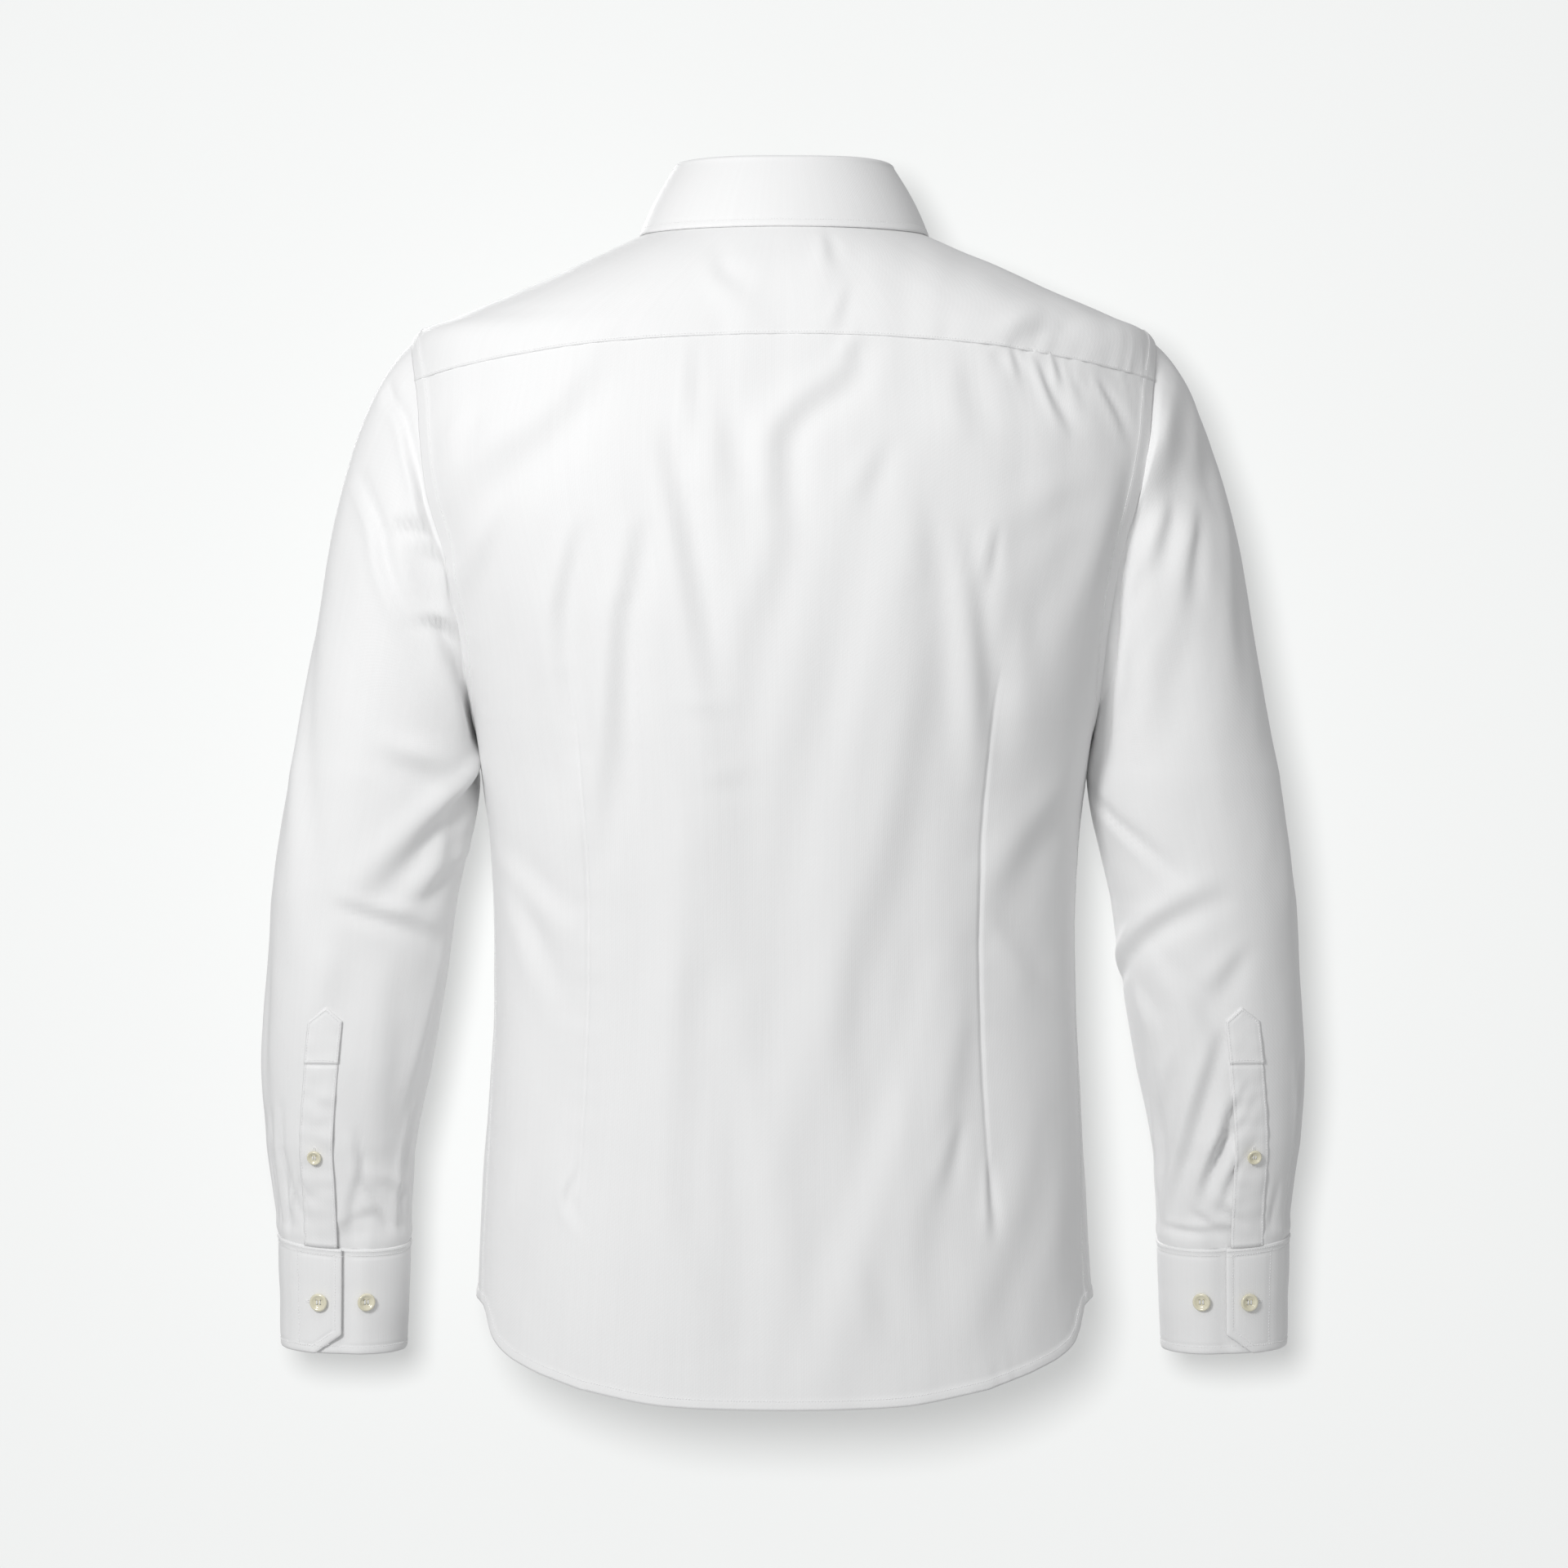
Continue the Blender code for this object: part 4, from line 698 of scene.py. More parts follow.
def yoke_seam_place(share):
    angle = YOKE_BACK_ANGLE + (math.pi - 2 * YOKE_BACK_ANGLE) * np.asarray(share)
    bend = np.abs(np.cos(angle) / math.cos(YOKE_BACK_ANGLE)) ** YOKE_SEAM_BEND
    return angle, YOKE_MIDDLE_LEVEL + (YOKE_END_LEVEL - YOKE_MIDDLE_LEVEL) * bend


# ================================================================= lines and grids of places
def resampled(angles, levels, fine_at):
    """Places along a line of the body, evenly by length but closer near these shares."""
    along = lengths_along(body_base(angles, levels))
    wanted = spread(along[-1], fine_at) * along[-1]
    return np.interp(wanted, along, angles), np.interp(wanted, along, levels)


def side_edge(front):
    """Down the armhole from the yoke seam, then down the side seam to the hem."""
    sign = -1 if front else 1
    turns = np.linspace(YOKE_TURN, math.pi, 160)
    arm_angles, arm_levels = armhole_place(sign * turns)
    levels = np.linspace(UNDERARM_LEVEL, SIDE_HEM_LEVEL, 160)[1:]
    angles = np.concatenate([arm_angles, side_seam_angle(levels)])
    return angles, np.concatenate([arm_levels, levels])


def patch(top, bottom, start, end, columns, reach):
    """Places between four edges. The side edges bend only the columns within their reach."""
    share = ((start[1] - start[1][0]) / (start[1][-1] - start[1][0]))[:, None]
    across = np.asarray(columns)[None, :]
    from_start = np.maximum(1 - across / reach, 0.0) ** 1.5
    from_end = np.maximum(1 - (1 - across) / reach, 0.0) ** 1.5
    grid = []
    for t, b, s, e in zip(top, bottom, start, end):
        middle = t[None, :] + (b - t)[None, :] * share
        first = (t[0] + (b[0] - t[0]) * share[:, 0])[:, None]
        last = (t[-1] + (b[-1] - t[-1]) * share[:, 0])[:, None]
        grid.append(middle + from_start * (s[:, None] - first) + from_end * (e[:, None] - last))
    return grid


# ================================================================= seams on a grid of points
def nearest_on(line, points):
    """For each point, how far along the line its nearest place is, and how far off."""
    tree = KDTree(len(line))
    for index, place in enumerate(line):
        tree.insert(Vector(place), index)
    tree.balance()
    along = lengths_along(line)
    found = [tree.find(Vector(point))[1:] for point in points.reshape(-1, 3)]
    index, distance = np.array(found).T
    shape = points.shape[:-1]
    return along[index.astype(int)].reshape(shape), distance.reshape(shape)


def dense(points, step=0.0008):
    """The same line with points this close together."""
    along = lengths_along(points)
    wanted = np.linspace(0.0, along[-1], max(int(along[-1] / step), 2) + 1)
    return np.stack([np.interp(wanted, along, points[:, axis]) for axis in range(3)], -1)


def beside_line(along, off, squeeze, third=0.0):
    """Places to read noise at beside a line. Squeezed, its waves stretch away from the line."""
    return np.stack([along, off * squeeze, np.full_like(along, third)], -1)


def rim_relief(off, rim):
    """A rounded edge, and the groove of the stitching beside it."""
    edge = -rim.drop * bell(off, rim.soft)
    return edge - rim.groove * bell(off - rim.stitch, rim.groove_soft)


def seam_relief(points, line, stitch, lift=SEAM_LIFT, pucker=0.00035, wave=0.009, seed=3):
    """The step and the puckers of a sewn edge: doubled cloth out to a stitched groove."""
    along, off = nearest_on(dense(line), points)
    doubled = lift * (1 - smooth_step(off, stitch, stitch + 0.0016))
    groove = -SEAM_GROOVE * bell(off - stitch, 0.0009)
    place = beside_line(along, off, 0.25)
    ripple = noise_at(place, wave, seed)
    swell = 0.55 + 0.45 * noise_at(place, 0.07, seed + 1)
    fade = bell(off, stitch + 0.010)
    return doubled + groove + ripple * swell * fade * pucker


def grid_normals(points, closed=False):
    """Unit normals of a grid of points, from its rows and columns."""
    if closed:
        wrapped = np.concatenate([points[:, -2:-1], points, points[:, 1:2]], axis=1)
        across = (wrapped[:, 2:] - wrapped[:, :-2]) / 2
    else:
        across = np.gradient(points, axis=1)
    down = np.gradient(points, axis=0)
    return unit(np.cross(down, across))


def outward(points, normals, centre):
    """The normals, turned round if most of them look towards the centre line."""
    away = points - centre
    return normals if (normals * away).sum() > 0 else -normals


# For each edge of a grid: its axis, its own line and the line next to it.
EDGES = {"top": (0, 0, 1), "bottom": (0, -1, -2), "start": (1, 0, 1), "end": (1, -1, -2)}


def tucked(points, normals, edge, reach=TUCK, depth=0.0012):
    """The grid with one more line past an edge, sunk under the neighbour that covers it."""
    axis, last, inner = EDGES[edge]
    lines = np.moveaxis(points, axis, 0)
    face = np.moveaxis(normals, axis, 0)[last]
    new = lines[last] + unit(lines[last] - lines[inner]) * reach - face * depth
    joined = [new[None], lines] if last == 0 else [lines, new[None]]
    return np.moveaxis(np.concatenate(joined), 0, axis)


# ================================================================= materials
COTTON_COLOUR = (0.880, 0.880, 0.880)
COTTON_TINTS = (0.975, 1.015)  # shares of its colour
THREAD_COLOUR = (0.90, 0.90, 0.90)
PEARL_COLOUR = (0.72, 0.68, 0.50)
PEARL_TINTS = (0.66, 0.62, 0.43, 1.0), (0.88, 0.84, 0.69, 1.0)
THREAD_PITCH = 0.00045  # of the weave


def shaded(name, colour, roughness, specular):
    made = bpy.data.materials.new(name)
    made.use_nodes = True
    nodes, links = made.node_tree.nodes, made.node_tree.links
    shader = nodes["Principled BSDF"]
    shader.inputs["Base Color"].default_value = (*colour, 1.0)
    shader.inputs["Roughness"].default_value = roughness
    shader.inputs["Specular IOR Level"].default_value = specular
    return made, nodes, links, shader


def waves(nodes, links, source, direction, pitch):
    """Even threads across one direction of the cloth."""
    wave = nodes.new("ShaderNodeTexWave")
    wave.bands_direction = direction
    wave.wave_profile = "SIN"
    wave.inputs["Scale"].default_value = 1.0 / pitch / 3.1416 * 0.5
    wave.inputs["Distortion"].default_value = 0.6
    wave.inputs["Detail Scale"].default_value = 3.0
    links.new(source, wave.inputs["Vector"])
    return wave.outputs["Fac"]


def noise_texture(nodes, links, source, scale, detail=3.0):
    """Cloudy noise, with its waves per metre along each axis of the source."""
    mapping = nodes.new("ShaderNodeMapping")
    mapping.inputs["Scale"].default_value = scale
    links.new(source, mapping.inputs["Vector"])
    texture = nodes.new("ShaderNodeTexNoise")
    texture.inputs["Scale"].default_value = 1.0
    texture.inputs["Detail"].default_value = detail
    links.new(mapping.outputs["Vector"], texture.inputs["Vector"])
    return texture.outputs["Fac"]


def tinted(nodes, links, shader, factor, tints):
    """The shader's colour, between two tints."""
    tint = nodes.new("ShaderNodeMix")
    tint.data_type = "RGBA"
    tint.inputs["A"].default_value, tint.inputs["B"].default_value = tints
    links.new(factor, tint.inputs["Factor"])
    links.new(tint.outputs["Result"], shader.inputs["Base Color"])


def bump(nodes, links, height, distance, strength, before=None):
    made = nodes.new("ShaderNodeBump")
    made.inputs["Distance"].default_value = distance
    made.inputs["Strength"].default_value = strength
    links.new(height, made.inputs["Height"])
    if before is not None:
        links.new(before, made.inputs["Normal"])
    return made.outputs["Normal"]


def cotton_material(name, crisp=0.0):
    """Fine white twill: threads, slubs along the grain and a slight crumple."""
    made, nodes, links, shader = shaded(name, COTTON_COLOUR, 0.62, 0.35)
    shader.inputs["Sheen Weight"].default_value = 0.05
    shader.inputs["Sheen Roughness"].default_value = 0.45
    place = nodes.new("ShaderNodeUVMap").outputs["UV"]
    warp = waves(nodes, links, place, "X", THREAD_PITCH)
    weft = waves(nodes, links, place, "DIAGONAL", THREAD_PITCH * 1.4)
    threads = nodes.new("ShaderNodeMath")
    threads.operation = "ADD"
    links.new(warp, threads.inputs[0])
    links.new(weft, threads.inputs[1])
    slubs = noise_texture(nodes, links, place, (900.0, 16.0, 1.0), 2.0)
    crumple = noise_texture(nodes, links, place, (34.0, 26.0, 1.0), 4.0)
    normal = bump(nodes, links, crumple, 0.0011 * (1 - crisp), 0.35)
    normal = bump(nodes, links, slubs, 0.00012, 0.30, normal)
    normal = bump(nodes, links, threads.outputs[0], 0.00006, 0.35, normal)
    links.new(normal, shader.inputs["Normal"])
    tints = [(*(c * share for c in COTTON_COLOUR), 1.0) for share in COTTON_TINTS]
    tinted(nodes, links, shader, noise_texture(nodes, links, place, (420.0, 9.0, 1.0)), tints)
    return made


def pearl_material(name):
    """Cream shell, with a soft cloudy lustre."""
    made, nodes, links, shader = shaded(name, PEARL_COLOUR, 0.26, 0.6)
    shader.inputs["Coat Weight"].default_value = 0.5
    shader.inputs["Coat Roughness"].default_value = 0.12
    place = nodes.new("ShaderNodeTexCoord").outputs["Object"]
    cloud = noise_texture(nodes, links, place, (260.0, 130.0, 200.0))
    tinted(nodes, links, shader, cloud, PEARL_TINTS)
    return made


def thread_material(name):
    made, nodes, links, shader = shaded(name, THREAD_COLOUR, 0.55, 0.4)
    shader.inputs["Sheen Weight"].default_value = 0.3
    place = nodes.new("ShaderNodeTexCoord").outputs["Object"]
    twist = noise_texture(nodes, links, place, (2600.0, 2600.0, 2600.0), 1.0)
    links.new(bump(nodes, links, twist, 0.0001, 0.4), shader.inputs["Normal"])
    return made


# ================================================================= making pieces
def keep(obj, material):
    obj.data.materials.append(material)
    bpy.context.scene.collection.objects.link(obj)
    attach(obj, "root")


class Cloth:
    """A shell of cloth over a grid of points on its outer face."""

    def __init__(self, name, points, centre, thickness=SHELL, closed=False, crisp=0.0):
        self.name = name
        self.points = points
        self.closed = closed
        self.normals = outward(points, grid_normals(points, closed), centre)
        self.obj = self.build(thickness, crisp)
        self.tree = BVHTree.FromPolygons(
            [Vector(point) for point in points.reshape(-1, 3)], self.faces, all_triangles=False
        )
        self.stitches = []

    def build(self, thickness, crisp):
        rows, columns = self.points.shape[:2]
        index = np.arange(rows * columns).reshape(rows, columns)
        corners = np.stack([index[:-1, :-1], index[:-1, 1:], index[1:, 1:], index[1:, :-1]], -1)
        first = self.points[0, 0]
        turned = np.cross(self.points[1, 0] - first, self.points[0, 1] - first)
        if (turned * self.normals[0, 0]).sum() > 0:
            corners = corners[..., ::-1]
        self.faces = corners.reshape(-1, 4).tolist()
        mesh = bpy.data.meshes.new(self.name)
        mesh.from_pydata(self.points.reshape(-1, 3).tolist(), [], self.faces)
        u = lengths_along(self.points[rows // 2])
        v = lengths_along(self.points[:, columns // 2])
        spots = np.stack(np.broadcast_arrays(u, v[:, None]), -1)
        layer = mesh.uv_layers.new(name="cloth")
        wanted = spots.reshape(-1, 2)[np.array(self.faces).reshape(-1)]
        layer.data.foreach_set("uv", wanted.astype(np.float32).reshape(-1))
        if self.closed:
            bm = bmesh.new()
            bm.from_mesh(mesh)
            bmesh.ops.remove_doubles(bm, verts=bm.verts, dist=1e-6)
            bm.to_mesh(mesh)
            bm.free()
        mesh.shade_smooth()
        obj = bpy.data.objects.new(self.name, mesh)
        keep(obj, cotton_material(self.name, crisp))
        solidify = obj.modifiers.new("cloth", "SOLIDIFY")
        solidify.thickness = thickness
        solidify.offset = -1.0
        solidify.use_quality_normals = True
        return obj

    def edge(self, which):
        """(points, normals, way inwards) along an edge."""
        axis, near, inner = EDGES[which]
        points = np.moveaxis(self.points, axis, 0)
        normals = np.moveaxis(self.normals, axis, 0)
        return points[near], normals[near], points[inner] - points[near]

    def inset(self, which, distance, first=0.0, last=1.0):
        """A line on the cloth beside an edge, this far from it."""
        points, normals, inwards = self.edge(which)
        return self.beside(points, normals, inwards, distance, first, last)

    def beside(self, points, normals, inwards, distance, first=0.0, last=1.0):
        along = np.gradient(points, axis=0)
        across = unit(np.cross(normals, along))
        across *= np.sign((across * inwards).sum(-1, keepdims=True))
        line = points + across * distance
        count = len(line)
        return line[int(first * (count - 1)) : round(last * (count - 1)) + 1]

    def topstitch(self, edges, distance, first=0.0, last=1.0):
        """Rows of stitches beside these edges."""
        for which in edges.split():
            self.stitch(self.inset(which, distance, first, last))

    def stitch(self, line):
        """A row of stitches along a line, laid on the cloth."""
        line = dense(line, STITCH_PITCH)
        for here, there in zip(line[:-1], line[1:]):
            middle = Vector((here + there) / 2)
            place, normal = self.face_at(middle)
            if (place - middle).length <= STITCH_REACH:
                along = Vector(there - here).normalized()
                self.stitches.append((place, normal, along, STITCH_LENGTH, STITCH_WIDTH))

    def face_at(self, wanted):
        """(place, normal) on the outer face nearest to a point."""
        place, normal, _, _ = self.tree.find_nearest(wanted)
        off = ((self.points.reshape(-1, 3) - np.array(place)) ** 2).sum(-1)
        outwards = Vector(self.normals.reshape(-1, 3)[off.argmin()])
        return place, normal if normal.dot(outwards) >= 0 else -normal

    def sew(self):
        """One object of all this cloth's stitches."""
        if not self.stitches:
            return []
        obj = bpy.data.objects.new(self.name + "_stitches", stitch_mesh(self.name, self.stitches))
        keep(obj, thread_material(self.name + "_thread"))
        return [obj]


def stitch_mesh(name, stitches):
    """Stitches as small rounded grains, half sunk in the cloth."""
    points, faces = [], []
    for place, normal, along, length, width in stitches:
        across = normal.cross(along).normalized()
        along = across.cross(normal)
        base = len(points)
        points += [place - along * length / 2 - normal * width * 0.2]
        for share in (-0.28, 0.28):
            middle = place + along * length * share + normal * width * 0.15
            points += [
                middle + across * width / 2,
                middle + normal * width * 0.5,
                middle - across * width / 2,
                middle - normal * width * 0.5,
            ]
        points += [place + along * length / 2 - normal * width * 0.2]
        for side in range(4):
            after = (side + 1) % 4
            faces.append((base, base + 1 + after, base + 1 + side))
            faces.append((base + 1 + side, base + 1 + after, base + 5 + after, base + 5 + side))
            faces.append((base + 9, base + 5 + side, base + 5 + after))
    mesh = bpy.data.meshes.new(name + "_stitches")
    mesh.from_pydata(points, [], faces)
    mesh.shade_smooth()
    return mesh


# ================================================================= body pieces
BODY_CENTRE = np.array((0.0, 0.0, -0.30))
YOKE_CENTRE = np.array((0.0, 0.0, -0.20))


def hem_relief(base, pucker, seed):
    return seam_relief(base, base[-1], HEM_WIDTH, HEM_LIFT, pucker, HEM_WAVE, seed)


def build_back():
    columns = spread(BACK_WIDTH, (0.0, DART_ACROSS, 1 - DART_ACROSS, 1.0))
    start = resampled(*side_edge(front=False), fine_at=(0.0, 1.0))
    end = (math.pi - start[0], start[1])
    top = yoke_seam_place(columns)
    bottom = (hem_angle(columns), hem_level(hem_angle(columns)))
    angle, level = patch(top, bottom, start, end, columns, reach=DART_ACROSS)
    base, normal, relief = formed(angle, level)
    for side in (1, -1):
        line = armhole_line(YOKE_TURN, math.pi, SEAM_POINTS, side)
        relief += seam_relief(base, line, FELL, pucker=0.0005, wave=ARMHOLE_WAVE, seed=5 + side)
        relief += seam_relief(base, side_seam_line(side), SIDE_FELL, pucker=0.0003, seed=8 + side)
        relief += dart_relief(base, side)
    right = smooth_step(-base[..., 0], -0.02, 0.12)
    relief += hem_relief(base, 0.0007, 13) * (0.45 + 0.75 * right)
    relief += yoke_puckers(base, 1.0)
    points = base + normal * relief[..., None]
    normals = outward(points, grid_normals(points), BODY_CENTRE)
    points = tucked(points, normals, "top", depth=0.0016)
    cloth = Cloth("back_cloth", points, BODY_CENTRE)
    for which in ("start", "end"):
        cloth.topstitch(which, FELL, 0.02, ARMHOLE_SHARE)
        cloth.topstitch(which, SIDE_FELL, ARMHOLE_SHARE, 0.99)
    cloth.topstitch("bottom", HEM_WIDTH)
    return cloth


def dart_relief(base, side):
    """A sewn dart: a narrow groove with the cloth drawn in beside it, and a few small puckers."""
    share = DART_ACROSS + (0.5 - DART_ACROSS) * (1 - side)
    z = np.linspace(DART_TOP_Z, DART_BOTTOM_Z, 120)
    top_angle, top_level = yoke_seam_place(share)
    top_z = body_base(top_angle, top_level)[2]
    span = (z - top_z) / (HEM[2].back_z - top_z)
    angle = top_angle + (hem_angle(share) - top_angle) * span
    line = body_base(angle, level_at_z(angle, z))
    along, off = nearest_on(dense(line), base)
    middle = (DART_TOP_Z - DART_BOTTOM_Z) / 2
    strength = np.maximum(1 - ((along - middle) / middle) ** 2, 0.0) ** 0.6
    groove = -0.0013 * bell(off, 0.0013)
    drawn = -DART_DEPTH * bell(off, 0.016, 1.3)
    place = beside_line(along, off, 0.4, side * 3.0)
    ripple = noise_at(place, 0.013, 17) * 0.0006 * bell(off, 0.010)
    return (groove + drawn + ripple) * strength


def yoke_seam_line():
    return body_base(*yoke_seam_place(np.linspace(0.0, 1.0, 2 * SEAM_POINTS)))


def yoke_puckers(base, below):
    """Small uneven gathers that run from the yoke seam, longer on the wearer's right.

    Below is 1 on the back and -1 on the yoke, so that they differ.
    """
    along, off = nearest_on(dense(yoke_seam_line()), base)
    x = base[..., 0]
    right = smooth_step(-x, 0.06, 0.16) * (1 - smooth_step(-x, 0.20, 0.235))
    place = beside_line(along - off * 0.35 * right, off, 0.12, below * 5.0)
    ripple = noise_at(place, (0.0085, 0.010, 0.010), 21)
    ripple += 0.5 * noise_at(place, (0.019, 0.02, 0.02), 22)
    swell = 0.25 + 0.35 * noise_at(place, 0.05, 23) + 1.1 * right
    fade = np.exp(-off / (0.008 + 0.012 * right))
    return -np.abs(ripple) ** 0.8 * np.maximum(swell, 0.0) * fade * 0.0014 + 0.0002 * fade


def build_yoke():
    left = armhole_place(np.linspace(-YOKE_TURN, YOKE_TURN, 120))
    seam = yoke_seam_place(np.linspace(0.0, 1.0, 2 * SEAM_POINTS))
    right = (math.pi - left[0][::-1], left[1][::-1])
    angles = np.concatenate([left[0], seam[0][1:-1], right[0]])
    levels = np.concatenate([left[1], seam[1][1:-1], right[1]])
    angles, levels = resampled(angles, levels, fine_at=(0.0, *YOKE_CORNERS, 1.0))
    level = levels[None, :] * spread(YOKE_DEPTH, (1.0,))[:, None]
    base, normal, relief = formed(np.broadcast_to(angles, level.shape), level)
    for side in (1, -1):
        line = armhole_line(-YOKE_TURN, YOKE_TURN, SEAM_POINTS // 2, side)
        relief += seam_relief(base, line, FELL, pucker=0.0003, wave=ARMHOLE_WAVE, seed=5 + side)
    relief += seam_relief(base, yoke_seam_line(), EDGE_STITCH, lift=0.0006, pucker=0.0002)
    relief += yoke_puckers(base, -1.0)
    cloth = Cloth("yoke_cloth", base + normal * relief[..., None], YOKE_CENTRE)
    cloth.topstitch("bottom", EDGE_STITCH, 0.19, 0.81)
    cloth.topstitch("bottom", FELL, 0.0, 0.185)
    cloth.topstitch("bottom", FELL, 0.815, 1.0)
    cloth.topstitch("start end", EDGE_STITCH)
    return cloth


def build_front(name, side):
    """Side 1 is the wearer's left front, which laps over the right one."""
    seam_levels = np.linspace(0.0, YOKE_END_LEVEL, 60)[:-1]
    edge_angles, edge_levels = side_edge(front=True)
    angles = np.concatenate([np.full(len(seam_levels), YOKE_FRONT_ANGLE), edge_angles])
    levels = np.concatenate([seam_levels, edge_levels])
    angles, levels = resampled(angles, levels, fine_at=(1.0,))
    across = spread(FRONT_WIDTH, (0.0,))
    lap_angle = front_angle_at_x(FRONT_LAP_START, levels)
    angle = angles[:, None] + (lap_angle - angles)[:, None] * across
    lap_x = np.linspace(FRONT_LAP_START, -FRONT_LAP, FRONT_LAP_COLUMNS + 1)[1:]
    lap = np.stack([front_angle_at_x(x, levels) for x in lap_x], -1)
    angle = np.concatenate([angle, lap], axis=1)
    below = np.maximum((levels - UNDERARM_LEVEL) / (SIDE_HEM_LEVEL - UNDERARM_LEVEL), 0.0)
    level = levels[:, None] + (hem_level(angle[-1]) - SIDE_HEM_LEVEL) * below[:, None]
    if side < 0:
        angle = -math.pi - angle
    base, normal, relief = formed(angle, level)
    if side < 0:
        column = np.arange(len(across) + len(lap_x)) + 1.0 - len(across)
        relief -= LAP * smooth_step(column, 0.0, FRONT_LAP_SINK)
    line = armhole_line(-math.pi, -YOKE_TURN, SEAM_POINTS, side)
    relief += seam_relief(base, line, FELL, pucker=0.0004, wave=ARMHOLE_WAVE, seed=31)
    line = side_seam_line(side)
    relief += seam_relief(base, line, EDGE_STITCH, lift=0.0, pucker=0.0003, seed=33)
    relief += hem_relief(base, 0.0006, 35)
    points = base + normal * relief[..., None]
    normals = outward(points, grid_normals(points), BODY_CENTRE)
    points = tucked(points, normals, "start", reach=0.0025, depth=0.0014)
    cloth = Cloth(name + "_cloth", points, BODY_CENTRE)
    line, inwards = points[:, 1], points[:, 3] - points[:, 1]
    along = lengths_along(line) / lengths_along(line)[-1]
    first, last = np.interp((YOKE_END_LEVEL, UNDERARM_LEVEL), levels, along) * len(levels)
    armhole = slice(int(first) + 2, int(last))
    cloth.stitch(cloth.beside(line[armhole], normals[armhole, 0], inwards[armhole], FELL))
    cloth.topstitch("bottom", HEM_WIDTH)
    return cloth


def build_front_band():
    hem_at = float(hem_level(-math.pi / 2)[0])
    levels = spread(FRONT_BAND_LENGTH, (0.0, 1.0), coarse=0.0035) * hem_at
    x = np.linspace(-BAND_WIDTH / 2, BAND_WIDTH / 2, FRONT_BAND_COLUMNS)
    angle = np.stack([front_angle_at_x(value, levels) for value in x], -1)
    base, normal, relief = formed(angle, np.broadcast_to(levels[:, None], angle.shape))
    off = BAND_WIDTH / 2 - np.abs(x)
    relief += FRONT_BAND_OUT + rim_relief(off, FRONT_BAND_RIM)
    points = base + normal * relief[..., None]
    cloth = Cloth("front_band_cloth", points, BODY_CENTRE, DOUBLE_SHELL, crisp=0.4)
    cloth.topstitch("start end", WIDE_STITCH)
    return cloth


# ================================================================= collar
def collar_row(angle):
    turned = np.abs((angle - math.pi / 2 + math.pi) % (2 * math.pi) - math.pi)
    end = math.pi - math.radians(FALL_OPENING)
    return rows_at(COLLAR, "place", np.minimum(turned / end, 1.0))


def flat_away(points):
    """Level directions away from the middle of the neck."""
    return unit(points * np.array((1.0, 1.0, 0.0)))


def stand_point(angle, height, out=0.0):
    """On the collar's stand, at a share of its height."""
    foot = body_base(angle, np.zeros_like(angle))
    row = collar_row(angle)
    away = flat_away(foot)
    shift = np.asarray(out) - row.lean * height
    up = np.zeros_like(foot)
    up[..., 2] = row.stand_height * height
    return foot + away * shift[..., None] + up


def build_stand():
    lap = math.radians(STAND_LAP_ANGLE)
    angles = np.linspace(-math.pi / 2 - lap, 1.5 * math.pi + lap, STAND_COLUMNS)
    past = np.degrees(angles - 1.5 * math.pi)
    under = (SOLID_DOUBLE + GAP) * smooth_step(past, -STAND_LAP_ANGLE * 2, -STAND_LAP_ANGLE)
    rows = []
    for height in np.linspace(STAND_FOOT, 1.0, STAND_ROWS):
        off = min(height - STAND_FOOT, 1.0 - height) * COLLAR[2].stand_height
        out = rim_relief(off, STAND_RIM)
        rows.append(stand_point(angles, height, out - under))
    cloth = Cloth("collar_stand_cloth", np.array(rows), STAND_CENTRE, DOUBLE_SHELL, crisp=0.7)
    cloth.topstitch("top", STAND_STITCH)
    return cloth


